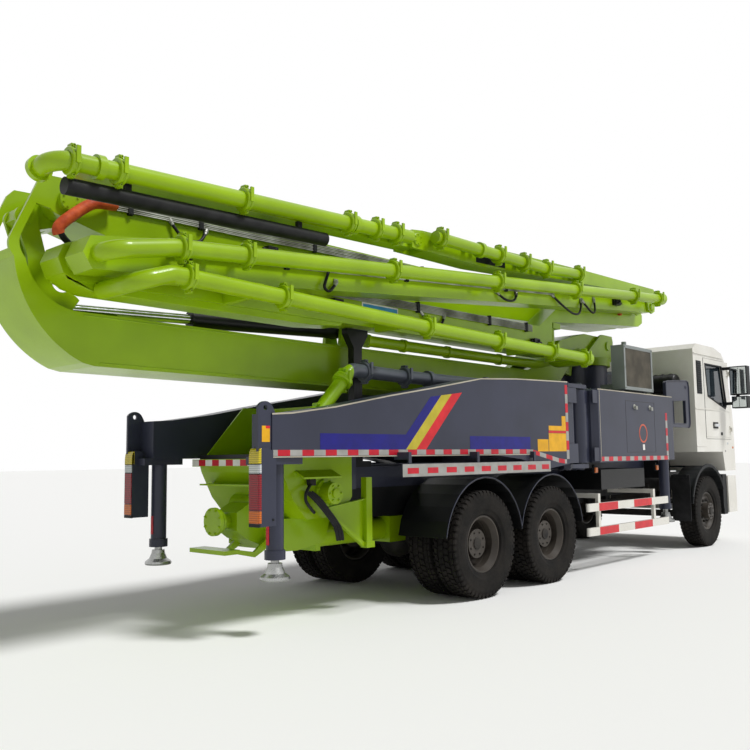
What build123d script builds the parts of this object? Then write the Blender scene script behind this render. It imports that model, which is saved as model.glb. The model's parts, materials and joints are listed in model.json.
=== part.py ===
from build123d import *
import os
from math import atan2, cos, degrees, hypot, pi, radians, sin

# A six-wheel concrete pump truck with a six-arm boom folded over its deck.
# Millimetres. X runs forward to the cab, Y to the left, Z up from the ground.
# The middle of the length is at X = 0.

# Overall sizes
half_length = 6100
half_width = 1200
fit = 0.05
gap = 0.3

# Wheels and axles
wheel_radius = 550
tyre_width = 285
rim_radius = 292
front_axle_x = 4780
rear_axle_xs = (-50, -1400)
front_wheel_y = 1050
twin_wheel_ys = (745, 1065)
kingpin_y = 860
kingpin_radius = 40
spindle_radius = 45
rear_spindle_radius = 60
axle_tube_radius = 85

# Chassis frame
rail_bottom_z = 850
rail_top_z = 1150
rail_outer_y = 425
rail_web = 12
rail_flange = 90
rail_rear_x = -2740
rail_front_x = half_length - 300

# Cab
cab_rear_x = 4390
cab_front_x = half_length - 60
cab_floor_z = 1480
cab_roof_z = 3200
cab_wall = 60
door_rear_x = 4800
door_front_x = 5900
door_bottom_z = 1690
door_top_z = 2990
door_gap = 6
door_hinge = (5915, 1214)
door_hinge_zs = (1850, 2800)
door_pin_radius = 8

# Deck, pedestal and turret
deck_top_z = 2100
deck_half_width = 680
slew_x = 2900
column_radius = 430
column_top_z = 2780
ring_radius = 480
ring_top_z = 2900
tower_inner_y = 292
tower_plate = 40

# Hopper grate hinge
grate_hinge = (-3060, 1476)
grate_rod_radius = 12
agitator_axis = (-3130, 1130)
outlet_z = 890
hopper_rear_x = -3690
hopper_bottom_z = 900

# Outriggers
pivot_y = 1000
rear_pivot_x = 620
front_pivot_x = 960
pivot_pin_radius = 60
pivot_eye_radius = 130
rear_leg_x = -3960
rear_leg_y = 860
front_leg_x = 3560
front_leg_y = 1000
leg_case_radius = 74
leg_collar_radius = 88
leg_tube_radius = 56
leg_rod_radius = 36
foot_bottom_z = 450
foot_radius = 128
lifting_eye = (-4173, 1872)
lifting_eye_radius = 22

# Boom: hinge centres (X, Z), pin radius, and the bands of Y that the arms lie in
lift_pivot = (3250, 3120)
hinge_12 = (-5550, 3450)
hinge_23 = (3760, 3590)
hinge_34 = (-5640, 2910)
hinge_45 = (3560, 3700)
hinge_56 = (-2100, 3680)
pin_radius = 45
arm_1_half = 280
arm_2_half = 240
arm_3_band = (-620, -340)
arm_4_band = (-930, -670)
arm_5_band = (-930, -670)
arm_6_band = (-880, -700)
pipe_radius = 68
pipe_y = -1085

# Cylinders: base pins and rod eyes (X, Z)
lift_base = (2300, 2700)
lift_eye = (350, 2350)
lift_barrel_radius = 95
lift_rod_radius = 60
fold_base = (-2350, 2800)
fold_eye = (-5634, 2650)
fold_barrel_radius = 78
fold_rod_radius = 46
tail_pin = (-5790, 3306)
tongue_half = 70
link_plate = 30

os.makedirs("parts", exist_ok=True)


def block(x0, x1, y0, y1, z0, z1):
    """A box between two corners."""
    centre = Pos((x0 + x1) / 2, (y0 + y1) / 2, (z0 + z1) / 2)
    return centre * Box(abs(x1 - x0), abs(y1 - y0), abs(z1 - z0))


def side_plate(points, y0, y1):
    """A profile of (x, z) points, extruded from y0 to y1."""
    low, high = min(y0, y1), max(y0, y1)
    face = make_face(Plane.XZ.offset(-high) * Polyline(*points, close=True))
    return extrude(face, amount=high - low, dir=(0, -1, 0))


def curved_plate(start, steps, y0, y1):
    """A profile in (x, z) that goes on from start by lines to a point, or by arcs through one point to
    another."""
    low, high = min(y0, y1), max(y0, y1)
    edges, here = [], start
    for step in steps + [start]:
        if isinstance(step[0], tuple):
            middle, end = step
            edges.append(ThreePointArc(here, middle, end))
        else:
            end = step
            edges.append(Line(here, end))
        here = end
    face = make_face([Plane.XZ.offset(-high) * edge for edge in edges])
    return extrude(face, amount=high - low, dir=(0, -1, 0))


def plan_plate(points, z0, z1):
    """A profile of (x, y) points, extruded from z0 to z1."""
    face = make_face(Plane.XY.offset(z0) * Polyline(*points, close=True))
    return extrude(face, amount=z1 - z0, dir=(0, 0, 1))


def bar_y(x, z, y0, y1, radius):
    """A round bar along Y."""
    return Pos(x, (y0 + y1) / 2, z) * Rot(90, 0, 0) * Cylinder(radius, abs(y1 - y0))


def bar_z(x, y, z0, z1, radius):
    """A round bar along Z."""
    return Pos(x, y, (z0 + z1) / 2) * Cylinder(radius, abs(z1 - z0))


def bar_x(y, z, x0, x1, radius):
    """A round bar along X."""
    return Pos((x0 + x1) / 2, y, z) * Rot(0, 90, 0) * Cylinder(radius, abs(x1 - x0))


def bar_between(start, end, y, radius):
    """A round bar from one (x, z) point to another at a constant y."""
    path = Edge.make_line((start[0], y, start[1]), (end[0], y, end[1]))
    return sweep(Plane(origin=path @ 0, z_dir=path % 0) * Circle(radius), path=path)


def pipe(points, radius, bend):
    """A pipe along straight runs with rounded corners."""
    if len(points) == 2:
        path = Edge.make_line(points[0], points[1])
    else:
        path = FilletPolyline(*points, radius=bend)
    start = Plane(origin=path @ 0, z_dir=path % 0)
    return sweep(start * Circle(radius), path=path)


def collar(point, direction, radius, length):
    """A clamp ring round a pipe, centred on a point."""
    plane = Plane(origin=point, z_dir=direction)
    return plane * Cylinder(radius, length)


def mirrored(shape):
    """The same shape on the other side of the truck."""
    return mirror(shape, about=Plane.XZ)


def both_sides(shape):
    return shape + mirrored(shape)


def ring_arc(centre_x, centre_z, inner, outer, start, end, y0, y1):
    """A curved plate about an axis along Y, from one angle to another."""
    steps = 12
    angles = [radians(start + (end - start) * i / steps) for i in range(steps + 1)]
    outside = [(centre_x + outer * cos(a), centre_z + outer * sin(a)) for a in angles]
    inside = [(centre_x + inner * cos(a), centre_z + inner * sin(a)) for a in reversed(angles)]
    return side_plate(outside + inside, y0, y1)


def along(start, end, distance):
    """The (x, z) point that lies a distance from start towards end."""
    length = hypot(end[0] - start[0], end[1] - start[1])
    share = distance / length
    return (start[0] + (end[0] - start[0]) * share, start[1] + (end[1] - start[1]) * share)


# Wheels

def tyre(centre_x, centre_y):
    """One tyre: a revolved section with a flat tread and rounded shoulders."""
    half = tyre_width / 2
    section = [
        (rim_radius, -half * 0.72), (rim_radius + 60, -half * 0.96), (rim_radius + 150, -half),
        (wheel_radius - 40, -half * 0.97), (wheel_radius, -half * 0.8),
        (wheel_radius, half * 0.8), (wheel_radius - 40, half * 0.97),
        (rim_radius + 150, half), (rim_radius + 60, half * 0.96), (rim_radius, half * 0.72),
    ]
    face = make_face(Polyline(*section, close=True))
    ring = revolve(face, Axis.Y, 360)
    return Pos(centre_x, centre_y, wheel_radius) * ring


def rim_ring(centre_x, centre_y):
    """The outer band of one rim, inside its tyre."""
    half = tyre_width / 2
    section = [
        (rim_radius - gap, -half * 0.72), (rim_radius - 18, -half * 0.72), (rim_radius - 48, -half * 0.3),
        (rim_radius - 48, half * 0.3), (rim_radius - 18, half * 0.72), (rim_radius - gap, half * 0.72),
    ]
    band = revolve(make_face(Polyline(*section, close=True)), Axis.Y, 360)
    return Pos(centre_x, centre_y, wheel_radius) * band


def disc(centre_x, y0, y1, radius):
    return bar_y(centre_x, wheel_radius, y0, y1, radius)


def front_wheel(side):
    """Tyre and rim of a steered wheel. Its disc bulges outwards to the hub."""
    tyre_solid = tyre(front_axle_x, side * front_wheel_y)
    hub_in = side * 970
    hub_out = side * 1215
    hub = disc(front_axle_x, hub_in, hub_out, 125)
    web = disc(front_axle_x, side * 1085, side * 1110, rim_radius - 40)
    bore = disc(front_axle_x, side * 900, side * 1130, spindle_radius + fit)
    rim_solid = rim_ring(front_axle_x, side * front_wheel_y) + web + hub - bore
    return tyre_solid, rim_solid


def rear_wheels(axle_x, side):
    """Twin tyres, and the two rims on one hub."""
    tyres = tyre(axle_x, side * twin_wheel_ys[0]) + tyre(axle_x, side * twin_wheel_ys[1])
    rims = rim_ring(axle_x, side * twin_wheel_ys[0]) + rim_ring(axle_x, side * twin_wheel_ys[1])
    web_inner = disc(axle_x, side * 880, side * 905, rim_radius - 40)
    web_outer = disc(axle_x, side * 905, side * 930, rim_radius - 40)
    inner_band = disc(axle_x, side * 780, side * 905, rim_radius - 30) - disc(
        axle_x, side * 770, side * 880, rim_radius - 52)
    outer_band = disc(axle_x, side * 905, side * 1030, rim_radius - 30) - disc(
        axle_x, side * 930, side * 1040, rim_radius - 52)
    hub = disc(axle_x, side * 680, side * 1090, 150)
    bore = disc(axle_x, side * 660, side * 1000, rear_spindle_radius + fit)
    rims = rims + inner_band + outer_band + web_inner + web_outer + hub - bore
    return tyres, rims


# Axles

def front_axle():
    """A dropped beam with an eye for each kingpin, and its leaf springs."""
    beam_points = [
        (-800, 500), (-620, 440), (620, 440), (800, 500), (800, 600), (560, 540), (-560, 540), (-800, 600),
    ]
    face = make_face(Plane.YZ.offset(front_axle_x - 55) * Polyline(*beam_points, close=True))
    beam = extrude(face, amount=110, dir=(1, 0, 0))
    eye = bar_z(front_axle_x, -kingpin_y, 462, 638, kingpin_radius + 22)
    eye += block(front_axle_x - 55, front_axle_x + 55, -kingpin_y + 12, -780, 475, 625)
    hole = bar_z(front_axle_x, -kingpin_y, 400, 700, kingpin_radius + fit)
    springs = block(front_axle_x - 700, front_axle_x + 700, -rail_outer_y - 90, -rail_outer_y - 10, 640, 700)
    seat = block(front_axle_x - 90, front_axle_x + 90, -rail_outer_y - 100, -rail_outer_y, 520, 640)
    hangers = Part()
    for x in (front_axle_x - 690, front_axle_x + 690):
        hangers += block(x - 30, x + 30, -rail_outer_y - 95, -rail_outer_y - gap, 640, rail_top_z - 150)
    side = eye - hole + springs + seat + hangers
    return beam + both_sides(side)


def rear_axles():
    """Two driven axles with their housings, on one balanced spring each side."""
    solid = Part()
    for x in rear_axle_xs:
        tube = bar_y(x, wheel_radius, -660, 660, axle_tube_radius)
        spindle = bar_y(x, wheel_radius, -985, 985, rear_spindle_radius)
        housing = Pos(x, 0, wheel_radius) * Sphere(210)
        solid += tube + spindle + housing
    mid_x = sum(rear_axle_xs) / 2
    reach = (rear_axle_xs[0] - rear_axle_xs[1]) / 2
    leaf = block(mid_x - reach, mid_x + reach, -540, -450, 640, 740)
    saddle = block(mid_x - 120, mid_x + 120, -545, -rail_outer_y - gap, 560, 900)
    pads = Part()
    for x in rear_axle_xs:
        pads += block(x - 70, x + 70, -545, -445, 560, 660)
    solid += both_sides(leaf + saddle + pads)
    nose = bar_x(0, 600, rear_axle_xs[1], rear_axle_xs[0] + 500, 60)
    return solid + nose


def knuckle(side):
    """A fork round the axle's eye, its kingpin, and the spindle for the wheel."""
    y_in, y_out = kingpin_y - 62, kingpin_y + 95
    upper = block(front_axle_x - 62, front_axle_x + 62, side * y_in, side * y_out, 640, 690)
    lower = block(front_axle_x - 62, front_axle_x + 62, side * y_in, side * y_out, 410, 460)
    web = block(front_axle_x - 62, front_axle_x + 62, side * (kingpin_y + 68), side * y_out, 410, 690)
    pin = bar_z(front_axle_x, side * kingpin_y, 405, 695, kingpin_radius)
    spindle = disc(front_axle_x, side * (y_out - 5), side * 1125, spindle_radius)
    return upper + lower + web + pin + spindle


# Chassis frame

def frame_rails():
    """Two channels joined by cross members."""
    rail = block(rail_rear_x, rail_front_x, -rail_outer_y, -rail_outer_y + rail_flange, rail_bottom_z,
                 rail_top_z)
    inside = block(rail_rear_x - 10, rail_front_x + 10, -rail_outer_y + rail_web,
                   -rail_outer_y + rail_flange + 10,
                   rail_bottom_z + rail_web, rail_top_z - rail_web)
    frame = both_sides(rail - inside)
    for x in (-2600, -1900, 900, 1900, 3900, 5700):
        frame += block(x - 40, x + 40, -rail_outer_y + rail_web, rail_outer_y - rail_web, 900, 1100)
    front_mount = block(5600, 5700, -rail_outer_y, -rail_outer_y + 80, rail_top_z, 1165 - gap)
    rear_mount = block(4440, 4520, -rail_outer_y, -rail_outer_y + 80, rail_top_z, cab_floor_z - gap)
    return frame + both_sides(front_mount + rear_mount)


def engine_block():
    body = block(4480, 5400, -330, 330, 720, 1330)
    mounts = both_sides(block(4700, 4800, -rail_outer_y + rail_web + gap, -320, 950, 1050))
    return body + mounts


# Cab

def cab_outline(inset):
    """The cab's side outline as (x, z) points, moved inwards by inset."""
    return [
        (cab_rear_x + inset, cab_floor_z + inset), (5480 + inset, cab_floor_z + inset),
        (5560 + inset, 1165 + inset), (cab_front_x - inset, 1165 + inset),
        (cab_front_x - inset, 1900), (cab_front_x - 30 - inset, 2150),
        (cab_front_x - 240 - inset, 2960), (cab_front_x - 420, 3130 - inset),
        (cab_front_x - 760, cab_roof_z - inset), (cab_rear_x + 140, cab_roof_z - inset),
        (cab_rear_x + inset, 3110 - inset),
    ]


def cab_shell():
    """The hollow cab with its door openings, windscreen and rear window cut through."""
    outer = side_plate(cab_outline(0), -half_width, half_width)
    inner = side_plate(cab_outline(cab_wall), -half_width + cab_wall, half_width - cab_wall)
    shell = outer - inner
    door_hole = block(door_rear_x - door_gap, door_front_x + door_gap, -half_width - 50, half_width + 50,
                      door_bottom_z - door_gap, door_top_z + door_gap)
    screen_hole = block(cab_front_x - 320, cab_front_x + 50, -1060, 1060, 2180, 2900)
    rear_hole = block(cab_rear_x - 20, cab_rear_x + 100, -420, 420, 2350, 2850)
    grille_hole = block(cab_front_x - 40, cab_front_x + 10, -760, 760, 1250, 1750)
    shell = shell - door_hole - screen_hole - rear_hole - grille_hole
    x, y = door_hinge
    for z in door_hinge_zs:
        lobe = bar_z(x, -y, z - 30, z + 30, 16) + block(door_front_x + door_gap, x + 15, -y, -y + 20,
                                                        z - 30, z + 30)
        shell += both_sides(lobe - bar_z(x, -y, z - 50, z + 50, door_pin_radius + fit))
    return shell


def cab_glass():
    """Windscreen and rear window."""
    slope = (210 / 810)
    low, high = 2180 + gap, 2900 - gap
    x_low = cab_front_x - 30 - (low - 2150) * slope
    x_high = cab_front_x - 30 - (high - 2150) * slope
    screen = side_plate([(x_low - 22, low), (x_low - 16, low), (x_high - 16, high), (x_high - 22, high)],
                        -1060 + gap, 1060 - gap)
    rear = block(cab_rear_x + 20, cab_rear_x + 26, -420 + gap, 420 - gap, 2350 + gap, 2850 - gap)
    return screen + rear


def cab_interior():
    """Two seats, the dashboard and the steering wheel on its column."""
    floor_z = cab_floor_z + cab_wall + gap
    seats = Part()
    for y in (-560, 560):
        base = block(4780, 5180, y - 180, y + 180, floor_z, floor_z + 240)
        cushion = block(4740, 5260, y - 250, y + 250, floor_z + 240, floor_z + 390)
        back = side_plate([(4740, floor_z + 390), (4860, floor_z + 390), (4760, floor_z + 1080),
                           (4640, floor_z + 1080)], y - 240, y + 240)
        head = block(4640, 4740, y - 130, y + 130, floor_z + 1080, floor_z + 1260)
        seats += base + cushion + back + head
    dash = side_plate([(5640, floor_z), (5900, floor_z), (5900, 2100), (5700, 2140), (5560, 2040),
                       (5600, 1800)],
                      -1100, 1100)
    column = bar_between((5330, 2080), (5640, 1850), 560, 28)
    wheel_plane = Plane(origin=(5330, 560, 2080), z_dir=(-0.8, 0, 0.6))
    wheel_rim = wheel_plane * Torus(215, 18)
    spoke = wheel_plane * Box(430, 40, 16)
    spoke_2 = wheel_plane * Box(40, 430, 16)
    return seats + dash + column + wheel_rim + spoke + spoke_2


def door(side):
    """A door with its window cut through, and the mirror on its two arms."""
    y_out, y_in = side * half_width, side * (half_width - cab_wall)
    panel = block(door_rear_x, door_front_x, y_in, y_out, door_bottom_z, door_top_z)
    window = side_plate([(4870, 2900), (4940, 2380), (5700, 2200), (5760, 2260), (5600, 2900)],
                        side * (half_width + 20), side * (half_width - cab_wall - 20))
    panel = panel - window
    hinge_x, hinge_y = door_hinge
    for z in door_hinge_zs:
        panel += bar_z(hinge_x, side * hinge_y, z - 55, z + 55, door_pin_radius)
        for low in (z - 55, z + 35):
            panel += block(door_front_x - 60, door_front_x - 1, y_in, side * (hinge_y + 8), low, low + 20)
            panel += block(door_front_x - 5, hinge_x, side * (half_width + 3), side * (hinge_y + 8), low,
                           low + 20)
    handle = block(5140, 5300, y_out, side * (half_width + 35), 1890, 1930)
    glass = block(5640, 5700, y_out, side * (half_width + 250), 2850, 2890)
    arm_low = block(5640, 5700, y_out, side * (half_width + 250), 2260, 2300)
    head = block(5610, 5760, side * (half_width + 130), side * (half_width + 400), 2420, 2890)
    head_low = block(5610, 5760, side * (half_width + 150), side * (half_width + 390), 2200, 2390)
    stem = block(5650, 5690, side * (half_width + 210), side * (half_width + 250), 2260, 2860)
    return panel + handle + glass + arm_low + head + head_low + stem


def door_glass(side):
    """The pane in the door's window."""
    y_mid = side * (half_width - cab_wall / 2)
    return side_plate([(4870 + gap, 2900 - gap), (4940, 2380 + gap), (5700, 2200 + gap), (5760 - gap, 2260),
                       (5600 - gap, 2900 - gap)], y_mid - 3, y_mid + 3)


def bumper():
    """The bumper with its lamp housings, and the grille panel above it."""
    rear_x, corner_x = half_length - 500, half_length - 120
    inner_x, inner_corner_x = half_length - 140, half_length - 200
    front = plan_plate([(rear_x, -1215), (corner_x, -1215), (half_length, -1050), (half_length, 1050),
                        (corner_x, 1215), (rear_x, 1215), (rear_x, 1100), (inner_corner_x, 1100), (inner_x,
                                                                                                   980),
                        (inner_x, -980), (inner_corner_x, -1100), (rear_x, -1100)], 480, 1080)
    stays = Part()
    for y in (-390, 390):
        stays += block(rail_front_x + gap, half_length - 135, y - 30, y + 30, 900, 1060)
    bars = Part()
    for z in (1300, 1420, 1540, 1660):
        bars += block(cab_front_x - 38, cab_front_x - 8, -760 + gap, 760 - gap, z - 22, z + 22)
    posts = Part()
    for y in (-740, -370, 0, 370, 740):
        posts += block(cab_front_x - 38, cab_front_x - 18, y - 18, y + 18, 1250 + gap, 1750 - gap)
    lamps = both_sides(block(half_length - 140, half_length - 1, -1000, -640, 700, 900))
    return front + stays + bars + posts + lamps


def cab_steps():
    """The step boxes and the curved guards over the front wheels."""
    side = block(5420, 5590, -1195, -900, 460, 1110)
    tread = block(5410, 5420, -1205, -890, 460, 560)
    guard = ring_arc(front_axle_x, wheel_radius, 690, 712, 28, 168, -1215, -880)
    bracket = block(front_axle_x - 40, front_axle_x + 40, -880, -rail_outer_y - 20, 1235, 1262)
    drop = block(front_axle_x - 40, front_axle_x + 40, -rail_outer_y - 40, -rail_outer_y - gap, 1100, 1262)
    hanger = block(5440, 5560, -900, -rail_outer_y - gap, 1010, 1080)
    return both_sides(side + tread + guard + bracket + drop + hanger)


# Running gear covers

def rear_fenders():
    """Thin arched guards over the twin wheels, on arms from the frame."""
    inner, outer = wheel_radius + 128, wheel_radius + 142
    side = Part()
    for x in rear_axle_xs:
        side += ring_arc(x, wheel_radius, inner, outer, 9, 171, -1215, -600)
        side += block(x - 30, x + 30, -600, -rail_outer_y - gap, 1120, 1160)
        side += block(x - 30, x + 30, -640, -600, 1120, wheel_radius + inner + 8)
    return both_sides(side)


def side_guards():
    """Two striped rails each side between the axles, on brackets from the frame."""
    upper = block(905, 3280, -1165, -1125, 745, 845)
    lower = block(905, 3280, -1165, -1125, 445, 545)
    posts = Part()
    for x in (1250, 2900):
        posts += block(x - 30, x + 30, -1125, -1085, 445, 900)
        posts += block(x - 30, x + 30, -1125, -rail_outer_y - gap, 900, 960)
    return both_sides(upper + lower + posts)


def side_tanks():
    """The fuel tank on the left and the water tank on the right, under the deck."""
    fuel = block(1500, 2700, 520, 1060, 620, 1180)
    fuel = fillet(fuel.edges().filter_by(Axis.X), 90)
    fuel_straps = Part()
    for x in (1750, 2450):
        fuel_straps += block(x - 25, x + 25, rail_outer_y + gap, 540, 880, 1100)
    water = block(1450, 2750, -1060, -520, 1000, 1260)
    water_straps = Part()
    for x in (1700, 2500):
        water_straps += block(x - 25, x + 25, -540, -rail_outer_y - gap, 1020, 1120)
    receiver = bar_x(640, 760, 3150, 3950, 110)
    receiver_arm = block(3500, 3700, rail_outer_y + gap, 600, 800, 900)
    return fuel + fuel_straps + water + water_straps + receiver + receiver_arm


def air_cleaner():
    """The intake housing behind the cab, on the right: a ribbed drum on its duct."""
    x, z = 4230, 2560
    drum = bar_y(x, z, -1000, -560, 150)
    drum = fillet(drum.edges().filter_by(GeomType.CIRCLE), 40)
    for y in (-900, -780, -660):
        drum += bar_y(x, z, y - 12, y + 12, 158)
    duct = block(4150, 4310, -760, -620, 1500, 2480)
    foot = block(4150, 4310, -760, -rail_outer_y - gap, 1080, 1500)
    return drum + duct + foot


# Deck and pedestal

def subframe():
    """The torsion box, the turret's column, and the lugs that hold the outriggers."""
    box = block(330, 3480, -deck_half_width, deck_half_width, 1360, deck_top_z)
    column = bar_z(slew_x, 0, deck_top_z - 20, column_top_z, column_radius)
    sills = both_sides(block(rail_rear_x, 4300, -rail_outer_y, -rail_outer_y + 120, rail_top_z + gap, 1361))
    lug_outline = [
        (rear_pivot_x - 120, -pivot_y - 60), (rear_pivot_x - 60, -pivot_y - 120),
        (front_pivot_x + 60, -pivot_y - 120), (front_pivot_x + 120, -pivot_y - 60),
        (front_pivot_x + 120, -deck_half_width + 5), (rear_pivot_x - 120, -deck_half_width + 5),
    ]
    lugs = plan_plate(lug_outline, 2290, 2340) + plan_plate(lug_outline, 1290, 1340)
    back = block(rear_pivot_x + 100, front_pivot_x - 100, -840, -deck_half_width + 5, 1300, 2330)
    pins = Part()
    for x in (rear_pivot_x, front_pivot_x):
        pins += bar_z(x, -pivot_y, 1285, 2345, pivot_pin_radius)
    top_rib = block(rear_pivot_x - 120, front_pivot_x + 120, -deck_half_width - 5, -deck_half_width + 35,
                    deck_top_z - 10, 2340)
    low_rib = block(rear_pivot_x - 120, front_pivot_x + 120, -deck_half_width - 5, -deck_half_width + 60,
                    1290, 1400)
    sides = both_sides(lugs + back + pins + top_rib + low_rib)
    rear_plate = block(rail_rear_x - 19.7, rail_rear_x + 40, -600, 600, rail_top_z + gap, 1700)
    plate = block(rail_rear_x, 340, -330, 330, 1340, 1361 + 20)
    return box + column + sills + sides + rear_plate + plate


def boom_rest():
    """The post that carries the folded boom, with its forked head."""
    x, y = -2520, -430
    post = block(x - 60, x + 60, y - 40, y + 40, 1365, 2640)
    foot = block(x - 160, x + 160, y - 60, -rail_outer_y + 60, 1361 + gap, 1420)
    head = side_plate([(x - 60, 2560), (x + 60, 2560), (x + 150, 2700), (x + 150, 2752), (x - 150, 2752),
                       (x - 150, 2700)], y - 40, y + 40)
    return post + foot + head


# Pump

def hopper():
    """An open hopper with sloping walls, raised sides, side wings and its forward support frames."""
    rear_x, front_x, low_z = hopper_rear_x, -2760, hopper_bottom_z
    half, wall = 600, 16
    outline = [
        (rear_x, 1455), (rear_x + 40, 1330), (rear_x + 170, 1080), (rear_x + 330, low_z),
        (front_x - 150, low_z), (front_x, 1080), (front_x, 1980), (front_x - 380, 1980), (rear_x + 60, 1455),
    ]
    inner = [
        (rear_x + wall, 2100), (rear_x + wall, 1455), (rear_x + 40 + wall, 1336), (rear_x + 172 + wall, 1090),
        (rear_x + 338, low_z + wall), (front_x - 158, low_z + wall), (front_x - wall, 1088),
        (front_x - wall, 2100),
    ]
    tub = side_plate(outline, -half, half) - side_plate(inner, -half + wall, half - wall)
    rim = block(rear_x - 40, rear_x + 12, -half - 40, half + 40, 1385, 1455)
    ledge = block(rear_x - 60, rear_x + 120, -half + 110, half - 110, 1205, 1220)
    shaft_x, shaft_z = agitator_axis
    bearing = bar_y(shaft_x, shaft_z, -half - 150, -half + 5, 100) + bar_y(shaft_x, shaft_z, -half - 30,
                                                                           -half, 130)
    wing = extrude(make_face(Plane.YZ.offset(rear_x + 190) * Polyline(
        (-half + 5, 1348), (-half + 5, 1330), (-half - 125, 1268), (-half - 130, 1284), close=True)),
        amount=470, dir=(1, 0, 0))
    panel = side_plate([(-3113, 998), (-2600, 1060), (-2600, 596), (-2640, 596), (-3095, 933)], -half - 12,
                       -half + 2)
    rib = side_plate([(-3095, 933), (-3080, 950), (-2600, 620), (-2600, 596), (-2640, 596)], -half - 40,
                     -half - 10)
    cap = side_plate([(-3113, 998), (-2600, 1060), (-2600, 1048), (-3113, 986)], -half - 45, -half - 10)
    post = block(-2620, -2540, -half - 60, -half + 10, 590, 1262)
    foot = block(-2628, -2515, -half - 68, -half + 15, 585, 645)
    sides = both_sides(bearing + wing + panel + rib + cap + post + foot)
    hole = bar_y(shaft_x, shaft_z, -half - 60, half + 60, 32 + fit)
    rod = bar_y(grate_hinge[0], grate_hinge[1], -half + 5, half - 5, grate_rod_radius)
    return tub + rim + ledge + rod + sides - hole


def agitator():
    """The stirring shaft across the hopper with its paddles."""
    x, z = agitator_axis
    shaft = bar_y(x, z, -640, 640, 32)
    paddles = Part()
    for number, y in enumerate((-450, -220, 220, 450)):
        turn = 45 if number % 2 else -45
        arm = Rot(0, turn, 0) * Box(330, 16, 60)
        paddles += Pos(x, y, z) * arm
    return shaft + paddles


def hopper_grate():
    """The hinged grid over the hopper."""
    x0, x1, half = -3700, grate_hinge[0] - 30, 560
    z0, z1 = 1455 + gap, 1496
    frame = block(x0, x1, -half, half, z0, z1) - block(x0 + 60, x1 - 40, -half + 40, half - 40, z0 - 5,
                                                       z1 + 5)
    bars = Part()
    for number in range(11):
        y = -450 + number * 90
        bars += block(x0 + 30, x1 - 10, y - 7, y + 7, z0 + 4, z1 - 4)
    for number in range(3):
        x = x0 + 160 + number * 150
        bars += block(x - 6, x + 6, -half + 10, half - 10, z0 + 8, z1 - 8)
    lugs = Part()
    for y in (-400, 400):
        lugs += bar_y(grate_hinge[0], grate_hinge[1], y - 20, y + 20, 24)
        lugs += block(x1 - 5, grate_hinge[0], y - 20, y + 20, z0, z1)
    return frame + bars + lugs - bar_y(grate_hinge[0], grate_hinge[1], -500, 500, grate_rod_radius + fit)


def pump_unit():
    """Outlet neck and valve box under the hopper, the twin pumping cylinders in front, and the folded
    step."""
    neck = bar_x(0, outlet_z, -3950, -3700, pipe_radius)
    flange = bar_x(0, outlet_z, -3962, -3925, 128) + bar_x(0, outlet_z, -3905, -3885, 108)
    duct = side_plate([(-3800, outlet_z + 78), (-3650, 1050), (-3300, 1050), (-3300, 640), (-3480, 640),
                       (-3680, 721), (-3800, outlet_z - 85)], -150, 150)
    top_z = hopper_bottom_z - gap
    valve_box = side_plate([(-3480, 640), (-3400, 603), (-3270, 600), (-2920, 650), (-2830, top_z),
                            (-3480, top_z)], -380, 380)
    drum = bar_y(-3500, 1010, -210, 210, 120)
    rear_x = hopper_rear_x - gap
    wall_line = [(rear_x, 1455), (rear_x + 40, 1330 - gap), (rear_x + 170, 1080 - gap), (rear_x + 330, top_z),
                 (-2700, top_z), (-2700, 1455)]
    case = duct + valve_box + drum - side_plate(wall_line, -420, 420)
    cylinders = Part()
    for y in (-160, 160):
        cylinders += bar_x(y, 700, -2950, -1900, 120)
    links = block(-2960, -2900, -300, 300, 560, 890)
    water_box = block(-1900, -1640, -320, 320, 560, 830)
    tread = block(-4020, -3850, -260, 260, 612, 650)
    arm = side_plate([(-3870, 650), (-3870, 612), (-3640, 560), (-3520, 620), (-3440, 700), (-3500, 720),
                      (-3650, 610)], 190, 215)
    return neck + flange + case + cylinders + links + water_box + tread + both_sides(arm)


def delivery_line():
    """The pipe that climbs beside the hopper and runs along the deck to the turret."""
    low_y, y = -672, -deck_half_width + 120
    run = pipe([(-3600, low_y, 1540), (-2840, low_y, 2300), (-1950, y, 2300), (2250, y, 2300),
                (2250, -60, 2300), (2460, -60, 2300)], pipe_radius, 150)
    clamps = collar((-3590, low_y, 1550), (1, 0, 1), pipe_radius + 8, 60)
    for x in (-1500, -400, 1400):
        clamps += collar((x, y, 2300), (1, 0, 0), pipe_radius + 22, 60)
    stand = block(380, 440, y - 40, y + 40, deck_top_z + gap, 2240)
    bracket = block(-3260, -3200, low_y + 30, -600 - gap, 1780, 1870)
    return run + clamps + stand + bracket


def oil_cooler():
    """The cooler: a flat framed core with open faces, held out over the right of the deck."""
    x0, x1, y0, y1, z0, z1 = 1990, 2890, -1190, -1000, 2335, 2950
    case = block(x0, x1, y0, y1, z0, z1)
    recess = block(x0 + 45, x1 - 45, y0 - 10, y0 + 45, z0 + 45, z1 - 45)
    back_recess = block(x0 + 45, x1 - 45, y1 - 45, y1 + 10, z0 + 45, z1 - 45)
    legs = Part()
    for x in (x0 + 80, x1 - 80):
        legs += block(x - 30, x + 30, -860, -deck_half_width - gap, 2030, 2090)
        legs += block(x - 30, x + 30, -860, -800, 2030, 2420)
        legs += block(x - 30, x + 30, y1 - 5, -800, 2360, 2420)
    return case - recess - back_recess + legs


# Outriggers

def leg_case(x, y, bottom_z, top_z):
    """The outer tube of a leg with the collar at its lower end."""
    return bar_z(x, y, bottom_z + 60, top_z, leg_case_radius) + bar_z(x, y, bottom_z, bottom_z + 75,
                                                                      leg_collar_radius)


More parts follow.
